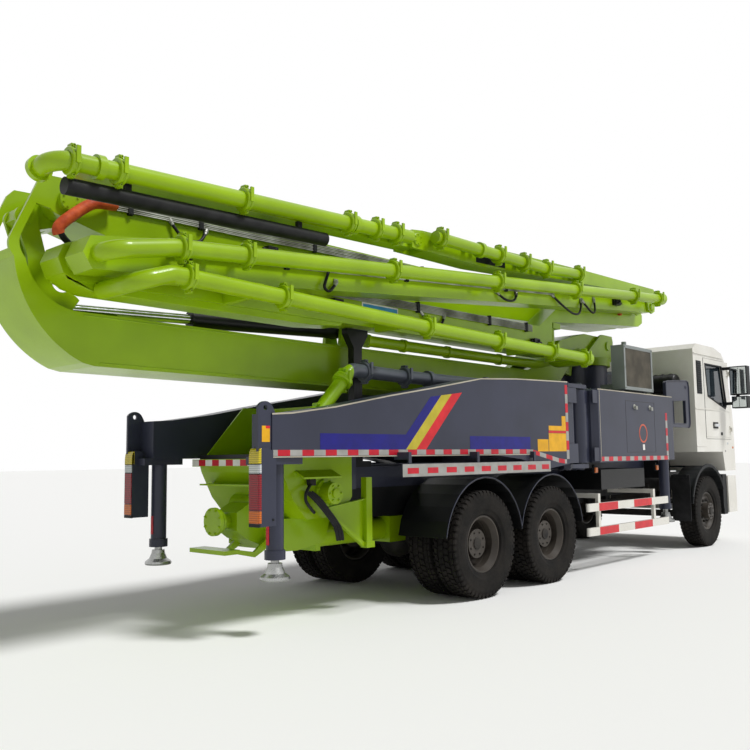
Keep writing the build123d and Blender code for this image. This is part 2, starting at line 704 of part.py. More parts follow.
def rear_outrigger(side):
    """A tapering box that swings on its front pivot, with the leg's tube at the back."""
    profile = [
        (-4110, 1467), (-1100, 1467), (-600, 1416), (-40, 1300), (480, 1300 + 55), (480, 2275), (415, 2345),
        (-650, 2319), (-1300, 2283), (-2100, 2140), (-2700, 2040), (-3400, 1910), (-3900, 1840), (-4110,
                                                                                                  1827),
    ]
    plan = [(-4110, -1000), (415, -1190), (480, -1120), (480, -900), (415, -880), (-4110, -740)]
    beam = side_plate(profile, -1300, -600) & plan_plate(plan, 1200, 2500)
    eye = bar_z(rear_pivot_x, -pivot_y, 1355, 2275, pivot_eye_radius)
    neck = block(440, rear_pivot_x - 40, -1090, -910, 1355, 2275)
    bore = bar_z(rear_pivot_x, -pivot_y, 1200, 2400, pivot_pin_radius + fit)
    ear = curved_plate((-4250, 1510), [(-4110, 1467), (-4070, 1467), (-4070, 1835), (-4095, 1880),
                       ((-4173, 1924), (-4250, 1880))], -990, -965)
    ear = ear - bar_y(lifting_eye[0], lifting_eye[1], -1000, -950, lifting_eye_radius)
    lamp_case = curved_plate((-4232, 908), [(-4066, 908), (-4066, 1467), ((-4110, 1520), (-4232, 1538))],
                             -1000, -880)
    lamp = curved_plate((-4250, 916), [(-4232, 916), (-4232, 1530), ((-4246, 1510), (-4250, 1470))], -1002,
                        -878)
    case = leg_case(rear_leg_x, -rear_leg_y, 620, 1820)
    inside = bar_z(rear_leg_x, -rear_leg_y, 500, 1560, leg_tube_radius + 1)
    head_plate = block(-4190, -3760, -985, -760, 1405, 1470)
    board = block(-2730, -90, -1222, -1207, 1268, 1390)
    for x in (-2600, -1500, -400):
        board += block(x - 20, x + 20, -1207, -1192, 1280, 1500)
        board += block(x - 20, x + 20, -1207, -1020, 1430, 1500)
    body = beam + eye + neck + ear + lamp_case + lamp + case + head_plate + board
    body = body - bore - inside
    return body if side < 0 else mirrored(body)


def front_outrigger(side):
    """A deep box that swings on its rear pivot, with the leg's tube at the front and its frame plate."""
    profile = [(1110, 1355), (1170, 1355), (3500, 1370), (3500, 2300), (1170, 2300), (1110, 2275)]
    plan = [(1110, -1120), (1170, -1200), (3500, -1200), (3500, -910), (1170, -880), (1110, -900)]
    beam = side_plate(profile, -1300, -600) & plan_plate(plan, 1200, 2500)
    eye = bar_z(front_pivot_x, -pivot_y, 1355, 2275, pivot_eye_radius)
    neck = block(front_pivot_x + 40, 1150, -1090, -910, 1355, 2275)
    bore = bar_z(front_pivot_x, -pivot_y, 1200, 2400, pivot_pin_radius + fit)
    case = leg_case(front_leg_x, -front_leg_y, 640, 2300)
    inside = bar_z(front_leg_x, -front_leg_y, 500, 2150, leg_tube_radius + 1)
    ear = curved_plate((3290, 2290), [(3290, 2505), (3330, 2525), (4060, 2572), ((4128, 2550), (4152, 2480)),
                       (4152, 1920), ((4130, 1868), (4080, 1850)), (3490, 1850), (3490, 2290)], -1200, -1160)
    window = side_plate([(3545, 1905), (3985, 1905), (3999, 1930), (3999, 2270), (3545, 2240)], -1250, -1100)
    body = beam + eye + neck + case + (ear - window) - bore - inside
    return body if side < 0 else mirrored(body)


def leg(x, y, top_z):
    """The inner tube, the rod and the bell-shaped foot of one leg."""
    inner = bar_z(x, y, 700, top_z, leg_tube_radius)
    rod = bar_z(x, y, 580, 710, leg_rod_radius)
    section = [(0, foot_bottom_z), (foot_radius - 8, foot_bottom_z), (foot_radius, foot_bottom_z + 12),
               (foot_radius - 6, foot_bottom_z + 32), (foot_radius - 42, foot_bottom_z + 58),
               (foot_radius - 64, foot_bottom_z + 110), (foot_radius - 68, foot_bottom_z + 140),
               (0, foot_bottom_z + 140)]
    bell = revolve(make_face(Plane.XZ * Polyline(*section, close=True)), Axis.Z, 360)
    return inner + rod + Pos(x, y, 0) * bell


# Turret and boom

def turret():
    """The turntable with two leaning side plates and lugs for the lifting cylinder."""
    ring = bar_z(slew_x, 0, column_top_z + gap, ring_top_z, ring_radius)
    outline = [
        (2470, ring_top_z - 20), (2980, 3240), (3080, 3285), (3400, 3285), (3430, 3200), (3400,
                                                                                          ring_top_z + 60),
        (3340, ring_top_z - 20),
    ]
    plate = side_plate(outline, -tower_inner_y - tower_plate, -tower_inner_y)
    plates = both_sides(plate)
    brace = block(2620, 2760, -tower_inner_y - 10, tower_inner_y + 10, ring_top_z - 10, ring_top_z + 40)
    pin = bar_y(lift_pivot[0], lift_pivot[1], -tower_inner_y - 60, tower_inner_y + 60, 70)
    base_lug = side_plate([(lift_base[0] - 70, lift_base[1] - 60), (lift_base[0] + 90, lift_base[1] - 80),
                           (2450, ring_top_z - 60), (2600, ring_top_z - 60), (2600, ring_top_z),
                           (lift_base[0] - 70, ring_top_z)], -160, -115)
    lugs = both_sides(base_lug)
    bed = block(lift_base[0] + lift_barrel_radius + 30, 2600, -160, 160, ring_top_z - 50, ring_top_z)
    base_pin = bar_y(lift_base[0], lift_base[1], -165, 165, 45)
    return ring + plates + brace + pin + lugs + bed + base_pin


def eye(centre, y0, y1, radius):
    return bar_y(centre[0], centre[1], y0, y1, radius)


def arm_1():
    """The lowest arm: a box beam whose side plates curve up behind to carry the second arm's hinge."""
    start = (-5300, 2186)
    steps = [
        (1450, 2160), (2420, 2975), (3250, 2985), (3380, 3050), (3380, 3190), (3250, 3255), (2600, 3255),
        (1900, 3090), (1300, 2700), (1000, 2600), (-5420, 2600), ((-5700, 2690), (-5868, 2950)),
        ((-5915, 3040), (-5905, 3130)), (-5800, 3380), (-5690, 3362), ((-5550, 3318), (-5425, 3395)),
        ((-5405, 3560), (-5550, 3622)), (-5735, 3615), (-5790, 3556), (-5847, 3420), (-5988, 3095),
        ((-5996, 3040), (-5955, 2951)), ((-5760, 2480), (-5400, 2206)),
    ]
    inner_half = arm_1_half - 30
    whole = curved_plate(start, steps, -arm_1_half, arm_1_half)
    hollow = curved_plate((-5420, 2600), [((-5700, 2690), (-5868, 2950)), (-5925, 2950), (-6100, 3100),
                          (-6100, 3800), (-5000, 3800), (-5000, 2600)], -inner_half, inner_half)
    well = curved_plate((-4930, 2610), [(-4930, 2400), (-5080, 2375), (-5650, 2375), ((-5790, 2640), (-5925,
                                                                                                      2960)),
                        (-5860, 2960)], -inner_half, inner_half)
    cylinder_slot = side_plate([
        (lift_eye[0] - 260, 2000), (lift_eye[0] - 260, 2480), (lift_eye[0] + 60, 2500), (1600, 2780), (2500,
                                                                                                       3010),
        (2500, 2000)], -175, 175)
    body = whole - hollow - well - cylinder_slot
    body = body - eye(lift_pivot, -400, 400, 70 + fit)
    hinge = eye(hinge_12, -arm_1_half - 28, arm_1_half + 28, pin_radius)
    caps = eye(hinge_12, -arm_1_half - 28, -arm_1_half, 85) + eye(hinge_12, arm_1_half, arm_1_half + 28, 85)
    base = both_sides(side_plate([(fold_base[0] - 90, 2590), (fold_base[0] + 130, 2590),
                                  (fold_base[0] + 70, fold_base[1] + 60), (fold_base[0] - 50,
                                                                           fold_base[1] + 70)],
                                 -140, -95))
    base_pin = eye(fold_base, -150, 150, 40)
    return body + hinge + caps + base + base_pin


def arm_2():
    """The second arm, above the first, from the rear hinge to the front. Its tail is a central tongue."""
    profile = [
        (-5560, 3615), (3700, 3700), (3800, 3710), (3880, 3650), (3890, 3570), (3820, 3480), (3700, 3450),
        (2600, 3400), (1600, 3300), (-1000, 3185), (-4900, 3185), (-5300, 3270), (-5460, 3310), (-5700, 3230),
        (-5800, 3222), (-5870, 3280), (-5850, 3370), (-5740, 3440), (-5700, 3540),
    ]
    body = side_plate(profile, -arm_2_half, arm_2_half)
    beside = block(-6000, hinge_12[0], tongue_half, arm_2_half + 10, 3100, 3800) - eye(hinge_12, 0, 400, 125)
    body = body - both_sides(beside)
    body = body - eye(hinge_12, -400, 400, pin_radius + fit) - eye(tail_pin, -400, 400, 40 + fit)
    body = body - eye(hinge_23, -400, 400, pin_radius + fit)
    return body


def arm_3():
    """The third arm, beside the others on the right, and its pipe, a solid of its own clamped below it."""
    y0, y1 = arm_3_band
    profile = [
        (-5640, 2760), (1050, 2760), (1100, 3220), (2400, 3340), (3740, 3450), (3880, 3520), (3890, 3640),
        (3800, 3720), (3500, 3730), (1350, 3500), (760, 3130), (-5640, 3060), (-5745, 3017), (-5790, 2910),
        (-5745, 2803),
    ]
    body = side_plate(profile, y0, y1)
    pin = eye(hinge_23, y1 - 20, arm_2_half + 30, pin_radius)
    cap = eye(hinge_23, arm_2_half + 5, arm_2_half + 30, 80)
    body = body - eye(hinge_34, -1000, 0, pin_radius + fit)
    end_x = 1250
    run = pipe([(-5440, y0 - gap, 2714), (-5440, pipe_y, 2714), (-5150, pipe_y, 2812), (-2000, pipe_y, 2738),
                (end_x, pipe_y, 2690), (end_x, -480, 2690), (end_x, -480, 3215)], pipe_radius, 140)
    clamps = Part()
    for x, z in ((-4300, 2792), (-2400, 2747), (0, 2709), (900, 2695)):
        clamps += block(x - 30, x + 30, pipe_y, y0 - gap, z - 30, z + 75)
        clamps += collar((x + 240, pipe_y, z - 6), (1, 0, -0.02), pipe_radius + 20, 56)
    riser_seat = block(end_x - 90, end_x + 90, y0 + 20, y1 - 20, 3150, 3225)
    return body + pin + cap + run + clamps + riser_seat


def arm_4():
    """The fourth arm, outermost on the right, rising to the front with its pipe."""
    y0, y1 = arm_4_band
    dx, dz = hinge_45[0] - hinge_34[0], hinge_45[1] - hinge_34[1]
    lean = atan2(dz, dx)
    length = hypot(dx, dz)

    def at(s, h):
        return (hinge_34[0] + s * cos(lean) - h * sin(lean), hinge_34[1] + s * sin(lean) + h * cos(lean))

    profile = [
        at(-60, 120), at(400, 150), at(length - 300, 90), at(length + 50, 80), at(length + 95, 0),
        at(length + 50, -80), at(length - 300, -90), at(600, -150), at(300, -118), at(-60, -118), at(-125, 0),
    ]
    body = side_plate(profile, y0, y1)
    tip_cut = block(hinge_45[0] - 320, hinge_45[0] + 200, y0 - 10, y0 + 32, 3300, 4000)
    tip_cut += block(hinge_45[0] - 320, hinge_45[0] + 200, y1 - 32, y1 + 10, 3300, 4000)
    body = body - tip_cut
    pin = eye(hinge_34, arm_3_band[1] + 25, y1 - 20, pin_radius)
    cap = eye(hinge_34, arm_3_band[1] + 5, arm_3_band[1] + 25, 80)
    body = body - eye(hinge_45, -1200, -400, pin_radius + fit)
    start, finish = hinge_34, at(length - 40, 100)
    rise = 58
    run = pipe([(start[0], y0 + 5, start[1]), (start[0], pipe_y, start[1]),
                (start[0] + 500, pipe_y, start[1] + 500 * dz / dx + rise), (finish[0], pipe_y, finish[1])],
               pipe_radius, 135)
    clamps = Part()
    for s in (900, 2700, 4500, 6300, 8000):
        share = s / length
        x = start[0] + (finish[0] - start[0]) * share
        z = start[1] + (finish[1] - start[1]) * share + rise * (1 - share)
        clamps += block(x - 30, x + 30, pipe_y, y0 + 20, z - 40, z + 20)
        clamps += collar((x + 300, pipe_y, z + 300 * dz / dx), (dx, 0, dz), pipe_radius + 22, 60)
    swivel = collar((finish[0], pipe_y, finish[1]), (dx, 0, dz), pipe_radius + 24, 110)
    return body + pin + cap + run + clamps + swivel


def arm_5():
    """The fifth arm, on top, from the front hinge back to the short last arm."""
    y0, y1 = arm_5_band
    profile = [
        (-2180, 3585), (-1000, 3590), (1850, 3770), (3200, 3822), (3690, 3832), (3720, 3930), (3650, 3985),
        (1500, 3930), (-2020, 3790), (-2180, 3770),
    ]
    body = side_plate(profile, y0, y1)
    notch = block(-2400, -1950, -890, -690, 3500, 3900)
    body = body - notch
    cheek = side_plate([(3390, 3840), (3440, 3640), (3560, 3595), (3660, 3640), (3690, 3840)], y0, y0 + 26)
    far_cheek = side_plate([(3390, 3840), (3440, 3640), (3560, 3595), (3660, 3640), (3690, 3840)], y1 - 26,
                           y1)
    pin = eye(hinge_45, y0, y1, pin_radius)
    pin_56 = eye(hinge_56, y0, y1, pin_radius)
    run = pipe([(-1950, pipe_y + 40, 3712), (300, pipe_y + 40, 3735), (1150, pipe_y + 40, 3800),
                (1450, -590, 3860), (3150, -590, 3896)], pipe_radius - 4, 160)
    clamps = Part()
    for x, z in ((-1300, 3716), (100, 3733), (900, 3785)):
        clamps += block(x - 30, x + 30, pipe_y + 40, y0 + 20, z - 25, z + 25)
        clamps += collar((x + 150, pipe_y + 40, z + 3), (1, 0, 0.02), pipe_radius + 18, 56)
    for x in (2000, 2900):
        clamps += block(x - 30, x + 30, y1 - 20, -590, 3850, 3900)
    return body + cheek + far_cheek + pin + pin_56 + run + clamps


def arm_6():
    """The short last arm, in line behind the fifth, ending in the outlet elbow."""
    y0, y1 = arm_6_band
    profile = [
        (-5750, 3480), (-5750, 3560), (-2300, 3762), (-2080, 3768), (-2010, 3690), (-2080, 3600), (-2300,
                                                                                                   3590),
    ]
    body = side_plate(profile, y0, y1) - eye(hinge_56, -1200, -400, pin_radius + fit)
    y = y0 - 85
    rear_x, slope = -6008, 0.0461
    run = pipe([(-2260, y, 3668), (rear_x, y, 3668 + (rear_x + 2260) * slope), (rear_x, -740, 3470)],
               pipe_radius, 140)
    clamps = collar((rear_x, -752, 3471), (0, 1, -0.1), pipe_radius + 22, 44)
    for x in (-5500, -4200, -2900):
        z = 3668 + (x + 2260) * slope
        clamps += block(x - 30, x + 30, y, y0 + 20, z - 25, z + 25)
        clamps += collar((x - 180, y, z - 180 * slope), (1, 0, slope), pipe_radius + 20, 56)
    return body + run + clamps


def end_hose():
    """The rubber end hose, folded forward and strapped under the last arm."""
    y = arm_6_band[0] - 20
    hose = pipe([(-5900, y, 3342), (-3400, y, 3436)], 62, 60)
    straps = Part()
    for x in (-5400, -3700):
        z = 3342 + (x + 5900) * 94 / 2500
        arm_bottom = 3480 + (x - 25 + 5750) * 110 / 3450
        straps += block(x - 25, x + 25, y + 2, y + 40, z + 40, arm_bottom - gap)
    return hose + straps


# Cylinders

def lift_barrel():
    """The barrel of the cylinder that lifts the boom, on its base pin."""
    top = along(lift_base, lift_eye, 1600)
    start = along(lift_base, lift_eye, 60)
    body = bar_between(start, top, 0, lift_barrel_radius)
    root = eye(lift_base, -105, 105, 90)
    bore = bar_between(along(lift_base, lift_eye, 230), along(lift_base, lift_eye, 1650), 0,
                       lift_rod_radius + fit)
    return body + root - bore - eye(lift_base, -200, 200, 45 + fit)


def lift_rod():
    """The rod of the lifting cylinder, with the eye at its end."""
    body = bar_between(along(lift_base, lift_eye, 260), along(lift_base, lift_eye, 1920), 0, lift_rod_radius)
    head = eye(lift_eye, -70, 70, 85)
    return body + head - eye(lift_eye, -200, 200, 45)


def fold_barrel():
    """The barrel of the cylinder that unfolds the second arm."""
    body = bar_between(along(fold_base, fold_eye, 50), along(fold_base, fold_eye, 1880), 0,
                       fold_barrel_radius)
    root = eye(fold_base, -88, 88, 75)
    bore = bar_between(along(fold_base, fold_eye, 200), along(fold_base, fold_eye, 1950), 0,
                       fold_rod_radius + fit)
    return body + root - bore - eye(fold_base, -200, 200, 40 + fit)


def fold_rod():
    """The bright rod of that cylinder, with its eye."""
    reach = hypot(fold_eye[0] - fold_base[0], fold_eye[1] - fold_base[1])
    body = bar_between(along(fold_base, fold_eye, 1200), along(fold_base, fold_eye, reach - 40), 0,
                       fold_rod_radius)
    head = eye(fold_eye, -60, 60, 65)
    return body + head - eye(fold_eye, -100, 100, 35)


def fold_link():
    """The two link plates between that rod and the tail of the second arm, with a hooked lower end."""
    y_in = tongue_half + 5
    y_out = y_in + link_plate
    plate = curved_plate((tail_pin[0] - 92, tail_pin[1]), [
        ((tail_pin[0], tail_pin[1] + 92), (tail_pin[0] + 90, tail_pin[1] - 18)),
        (-5630, 3040), (-5575, 2830), ((-5525, 2772), (-5465, 2775)), ((-5405, 2765), (-5345, 2722)),
        (-5400, 2640), (-5500, 2590), ((-5620, 2545), (-5728, 2610)), (-5776, 3017)], y_in, y_out)
    boss_low = eye(fold_eye, y_out - 5, y_out + 18, 52)
    boss_high = eye(tail_pin, y_out - 5, y_out + 18, 52)
    pin = eye(tail_pin, -y_out, y_out, 40)
    return both_sides(plate + boss_low + boss_high) + pin


def save(name, shape):
    export_step(shape, os.path.join("parts", name + ".step"))


nodes = {
    "frame_rails": frame_rails(), "front_axle": front_axle(), "rear_axles": rear_axles(),
    "engine_block": engine_block(), "cab_shell": cab_shell(), "cab_glass": cab_glass(),
    "cab_interior": cab_interior(), "bumper": bumper(), "cab_steps": cab_steps(),
    "rear_fenders": rear_fenders(), "side_guards": side_guards(), "side_tanks": side_tanks(),
    "air_cleaner": air_cleaner(), "subframe": subframe(), "boom_rest": boom_rest(), "hopper": hopper(),
    "agitator": agitator(), "hopper_grate": hopper_grate(), "pump_unit": pump_unit(),
    "delivery_line": delivery_line(), "oil_cooler": oil_cooler(), "turret": turret(),
    "arm_1": arm_1(), "arm_2": arm_2(), "arm_3": arm_3(), "arm_4": arm_4(),
    "arm_5": arm_5(), "arm_6": arm_6(),
    "end_hose": end_hose(), "lift_barrel": lift_barrel(), "lift_rod": lift_rod(),
    "fold_barrel": fold_barrel(), "fold_rod": fold_rod(), "fold_link": fold_link(),
}
for word, side in (("left", 1), ("right", -1)):
    nodes["knuckle_" + word] = knuckle(side)
    nodes["door_" + word] = door(side)
    nodes["door_glass_" + word] = door_glass(side)
    nodes["rear_outrigger_" + word] = rear_outrigger(side)
    nodes["front_outrigger_" + word] = front_outrigger(side)
    nodes["rear_leg_" + word] = leg(rear_leg_x, side * rear_leg_y, 1540)
    nodes["front_leg_" + word] = leg(front_leg_x, side * front_leg_y, 2100)
    nodes["front_tyre_" + word], nodes["front_rim_" + word] = front_wheel(side)
    for number, axle_x in ((1, rear_axle_xs[0]), (2, rear_axle_xs[1])):
        tyres, rims = rear_wheels(axle_x, side)
        nodes[f"tyres_{number}_{word}"] = tyres
        nodes[f"rims_{number}_{word}"] = rims

for name, shape in nodes.items():
    save(name, shape)
print(len(nodes), "nodes")
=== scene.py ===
import bpy
import bmesh
import json
from math import cos, pi, radians, sin
from mathutils import Matrix, Vector


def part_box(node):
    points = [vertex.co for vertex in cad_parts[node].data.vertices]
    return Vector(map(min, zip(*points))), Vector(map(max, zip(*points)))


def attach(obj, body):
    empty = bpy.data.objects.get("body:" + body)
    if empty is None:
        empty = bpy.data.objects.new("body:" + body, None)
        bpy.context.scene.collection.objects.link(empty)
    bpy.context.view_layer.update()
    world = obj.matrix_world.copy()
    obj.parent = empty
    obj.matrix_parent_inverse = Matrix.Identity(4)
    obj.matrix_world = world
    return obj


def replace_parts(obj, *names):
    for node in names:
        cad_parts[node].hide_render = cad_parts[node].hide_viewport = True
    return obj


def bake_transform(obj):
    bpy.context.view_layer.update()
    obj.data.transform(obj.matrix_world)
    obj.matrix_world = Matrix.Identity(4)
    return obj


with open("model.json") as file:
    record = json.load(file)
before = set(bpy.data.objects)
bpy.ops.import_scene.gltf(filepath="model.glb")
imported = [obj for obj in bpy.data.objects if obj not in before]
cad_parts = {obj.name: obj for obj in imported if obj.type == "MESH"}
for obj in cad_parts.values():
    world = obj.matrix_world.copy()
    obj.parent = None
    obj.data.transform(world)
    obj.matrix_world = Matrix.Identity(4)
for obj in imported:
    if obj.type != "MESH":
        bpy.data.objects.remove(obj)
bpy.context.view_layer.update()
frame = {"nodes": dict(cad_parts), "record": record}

nodes = frame["nodes"]
print("frame loaded:", len(nodes), "nodes")

scene = bpy.context.scene
scene.view_settings.view_transform = "Standard"

# The view: the place and angles of the photograph's camera, the floor, and the soft sun and sky
viewSettings = {
    "cameraPlace": (-8.559, -6.186, 1.454),
    "yawFromForward": 42.245,
    "pitch": 5.699,
    "roll": -0.692,
    "lensMm": 39.63,
    "sensorMm": 36.0,
    "clipEnd": 200,
    "floorColour": "#f9f9f7",
    "floorSize": 240,
    "sunStrength": 2.5,
    "sunFrom": (0.35, -0.75, 1.25),
    "sunSpread": 12,
    "skyStrength": 0.27,
}


def linear(hexColour):
    # sRGB hex to the linear values that the shaders take
    channels = [int(hexColour[i:i + 2], 16) / 255 for i in (1, 3, 5)]
    return tuple(c / 12.92 if c <= 0.04045 else ((c + 0.055) / 1.055) ** 2.4 for c in channels) + (1.0,)


def placeCamera(settings):
    yaw, pitch, roll = (radians(settings[key]) for key in ("yawFromForward", "pitch", "roll"))
    ahead = Vector((cos(yaw) * cos(pitch), sin(yaw) * cos(pitch), sin(pitch)))
    right = ahead.cross(Vector((0, 0, 1))).normalized()
    up = right.cross(ahead)
    rolledRight = right * cos(roll) + up * sin(roll)
    rolledUp = up * cos(roll) - right * sin(roll)
    camera = bpy.data.objects.new("camera", bpy.data.cameras.new("camera"))
    scene.collection.objects.link(camera)
    turn = Matrix((rolledRight, rolledUp, -ahead)).transposed().to_4x4()
    camera.matrix_world = Matrix.Translation(settings["cameraPlace"]) @ turn
    camera.data.lens = settings["lensMm"]
    camera.data.sensor_width = settings["sensorMm"]
    camera.data.clip_end = settings["clipEnd"]
    scene.camera = camera


placeCamera(viewSettings)


def addNode(tree, kind, at=(0, 0), settings=None, inputs=None, links=None):
    # one node with its settings, its values and what feeds it
    node = tree.nodes.new(kind)
    node.location = at
    for key, value in (settings or {}).items():
        setattr(node, key, value)
    for key, value in (inputs or {}).items():
        node.inputs[key].default_value = value
    for key, socket in (links or {}).items():
        tree.links.new(socket, node.inputs[key])
    return node


def newMaterial(name, colour, metallic=0.0, roughness=0.5, **shader):
    material = bpy.data.materials.new(name)
    material.use_nodes = True
    tree = material.node_tree
    surface = tree.nodes["Principled BSDF"]
    surface.inputs["Base Color"].default_value = linear(colour)
    surface.inputs["Metallic"].default_value = metallic
    surface.inputs["Roughness"].default_value = roughness
    for key, value in shader.items():
        surface.inputs[key.replace("_", " ")].default_value = value
    material.diffuse_color = linear(colour)
    return material, tree, surface


def varied(tree, surface, coordinates, colours, scale, roughSpan, bumpMm=0.0, bumpScale=None):
    # soft colour change, uneven gloss and a fine bump; each scale is in cells per metre
    noise = addNode(tree, "ShaderNodeTexNoise", (-900, 200), inputs={"Scale": scale, "Detail": 4.0},
                    links={"Vector": coordinates})
    ramp = addNode(tree, "ShaderNodeValToRGB", (-700, 200), links={"Fac": noise.outputs["Fac"]})
    ramp.color_ramp.elements[0].position = 0.35
    ramp.color_ramp.elements[1].position = 0.68
    ramp.color_ramp.elements[0].color = linear(colours[0])
    ramp.color_ramp.elements[1].color = linear(colours[1])
    tree.links.new(ramp.outputs["Color"], surface.inputs["Base Color"])
    fine = addNode(tree, "ShaderNodeTexNoise", (-900, -100),
                   inputs={"Scale": bumpScale or scale * 6, "Detail": 3.0}, links={"Vector": coordinates})
    rough = addNode(tree, "ShaderNodeMapRange", (-700, -100),
                    inputs={"From Min": 0.3, "From Max": 0.7, "To Min": roughSpan[0], "To Max": roughSpan[1]},
                    links={"Value": fine.outputs["Fac"]})
    tree.links.new(rough.outputs["Result"], surface.inputs["Roughness"])
    if bumpMm:
        bump = addNode(tree, "ShaderNodeBump", (-400, -300),
                       inputs={"Distance": bumpMm / 1000, "Strength": 1.0},
                       links={"Height": fine.outputs["Fac"]})
        tree.links.new(bump.outputs["Normal"], surface.inputs["Normal"])


def objectPlace(tree):
    return addNode(tree, "ShaderNodeTexCoord", (-1200, 0)).outputs["Object"]


# Gloss alkyd enamel sprayed on steel: a clear hard shine with a faint orange peel 3 to 6 mm across.
# Dust and old grease dull it in soft patches about half a metre wide.
def enamel(name, colour, shade, coat=0.1, rough=(0.3, 0.45)):
    material, tree, surface = newMaterial(name, colour, IOR=1.5, Specular_IOR_Level=0.3, Coat_Weight=coat,
                                          Coat_Roughness=0.12)
    varied(tree, surface, objectPlace(tree), (shade, colour), 1.8, rough, 0.12, 160.0)
    return material


# Worn tyre tread compound: carbon-black rubber, matt, greyed by road dust
def tyreRubber():
    material, tree, surface = newMaterial("tyreRubber", "#171615", roughness=0.85, IOR=1.52,
                                          Specular_IOR_Level=0.15)
    varied(tree, surface, objectPlace(tree), ("#131211", "#262320"), 5.0, (0.72, 0.92), 0.6, 90.0)
    return material


# Hard chrome plate on a ground rod: mirror bright with faint lengthwise oil haze
def hardChrome():
    material, tree, surface = newMaterial("hardChrome", "#d9dbdd", metallic=1.0, roughness=0.12)
    varied(tree, surface, objectPlace(tree), ("#c8cbce", "#e6e8ea"), 3.0, (0.08, 0.2))
    return material


# Sand-cast grey iron under black primer: fine pits, dull
def castIron():
    material, tree, surface = newMaterial("castIron", "#2b2a29", roughness=0.7, Specular_IOR_Level=0.25)
    varied(tree, surface, objectPlace(tree), ("#1f1e1d", "#383531"), 6.0, (0.55, 0.8), 1.0, 70.0)
    return material


# Textured polypropylene moulding: dark grey, soft low shine with a fine grain
def mouldedPlastic():
    material, tree, surface = newMaterial("mouldedPlastic", "#202224", roughness=0.55, Specular_IOR_Level=0.2)
    varied(tree, surface, objectPlace(tree), ("#191b1c", "#202224"), 3.0, (0.45, 0.62), 0.25, 400.0)
    return material


# Toughened green-tinted float glass: clear, dark against an unlit cab
def tintedGlass():
    return newMaterial("tintedGlass", "#35424a", roughness=0.03, IOR=1.52, Transmission_Weight=0.55)[0]


# Glass-bead reflective tape, in white and red: satin film with a fine cell pattern
def reflectiveFilm(name, colour, shade):
    material, tree, surface = newMaterial(name, colour, roughness=0.4, Specular_IOR_Level=0.3,
                                          Coat_Weight=0.05, Coat_Roughness=0.15)
    varied(tree, surface, objectPlace(tree), (shade, colour), 9.0, (0.3, 0.45), 0.1, 500.0)
    return material


# Two enamels on one pipe, changed at a coupling: which one shows depends on how far forward the point is
def twoToneEnamel(name, rearColour, frontColour, changeAt):
    material, tree, surface = newMaterial(name, frontColour[0], roughness=0.34, IOR=1.5,
                                          Specular_IOR_Level=0.3, Coat_Weight=0.1)
    place = objectPlace(tree)
    axes = addNode(tree, "ShaderNodeSeparateXYZ", (-900, 0), links={"Vector": place})
    isFront = addNode(tree, "ShaderNodeMath", (-700, 0), {"operation": "GREATER_THAN"}, {1: changeAt},
                      {0: axes.outputs["X"]})
    noise = addNode(tree, "ShaderNodeTexNoise", (-900, 300), inputs={"Scale": 4.0, "Detail": 4.0},
                    links={"Vector": place})
    mixes = []
    for row, (base, worn) in enumerate((rearColour, frontColour)):
        ramp = addNode(tree, "ShaderNodeValToRGB", (-700, 300 + row * 260),
                       links={"Fac": noise.outputs["Fac"]})
        ramp.color_ramp.elements[0].color = linear(worn)
        ramp.color_ramp.elements[1].color = linear(base)
        mixes.append(ramp.outputs["Color"])
    mix = addNode(tree, "ShaderNodeMix", (-300, 200), {"data_type": "RGBA"})
    tree.links.new(isFront.outputs[0], mix.inputs[0])      # the factor, then the two colours
    tree.links.new(mixes[0], mix.inputs[6])
    tree.links.new(mixes[1], mix.inputs[7])
    tree.links.new(mix.outputs[2], surface.inputs["Base Color"])
    return material


# Moulded acrylic lamp lens: clear depth over a ribbed back, in red, amber, yellow or clear
def lampLens(name, colour, shade):
    material, tree, surface = newMaterial(name, colour, roughness=0.12, IOR=1.49, Specular_IOR_Level=0.3,
                                          Coat_Weight=0.25, Coat_Roughness=0.04)
    place = objectPlace(tree)
    ribs = addNode(tree, "ShaderNodeTexWave", (-900, -100), {"bands_direction": "Z"},
                   {"Scale": 18.0, "Distortion": 0.0}, {"Vector": place})
    ramp = addNode(tree, "ShaderNodeValToRGB", (-700, -100), links={"Fac": ribs.outputs["Fac"]})
    ramp.color_ramp.elements[0].color = linear(shade)
    ramp.color_ramp.elements[1].color = linear(colour)
    tree.links.new(ramp.outputs["Color"], surface.inputs["Base Color"])
    bump = addNode(tree, "ShaderNodeBump", (-400, -300), inputs={"Distance": 0.002, "Strength": 0.6},
                   links={"Height": ribs.outputs["Fac"]})
    tree.links.new(bump.outputs["Normal"], surface.inputs["Normal"])
    return material


# Coated glass-fibre fire sleeve: soft orange silicone with folds, dirty in the creases
def fireSleeve():
    material, tree, surface = newMaterial("fireSleeve", "#d2562c", roughness=0.62, Specular_IOR_Level=0.25)
    varied(tree, surface, objectPlace(tree), ("#b0421f", "#dc6334"), 14.0, (0.5, 0.72), 2.5, 30.0)
    return material


# Extruded rubber hydraulic hose: black, dull, with a faint wrapped-cloth grain about 3 mm apart
def hoseRubber():
    material, tree, surface = newMaterial("hoseRubber", "#1a1a1b", roughness=0.5, IOR=1.52,
                                          Specular_IOR_Level=0.2)
    varied(tree, surface, objectPlace(tree), ("#131314", "#242425"), 9.0, (0.38, 0.6), 0.4, 320.0)
    return material


# Zinc-plated steel tube: pale grey, half dull, with rust-brown dust here and there
def zincTube(name="zincTube", colour="#b4b6ae", shade="#6f6f66", rough=(0.3, 0.52)):
    material, tree, surface = newMaterial(name, colour, metallic=0.85, roughness=0.4)
    varied(tree, surface, objectPlace(tree), (shade, colour), 3.5, rough, 0.2, 120.0)
    return material


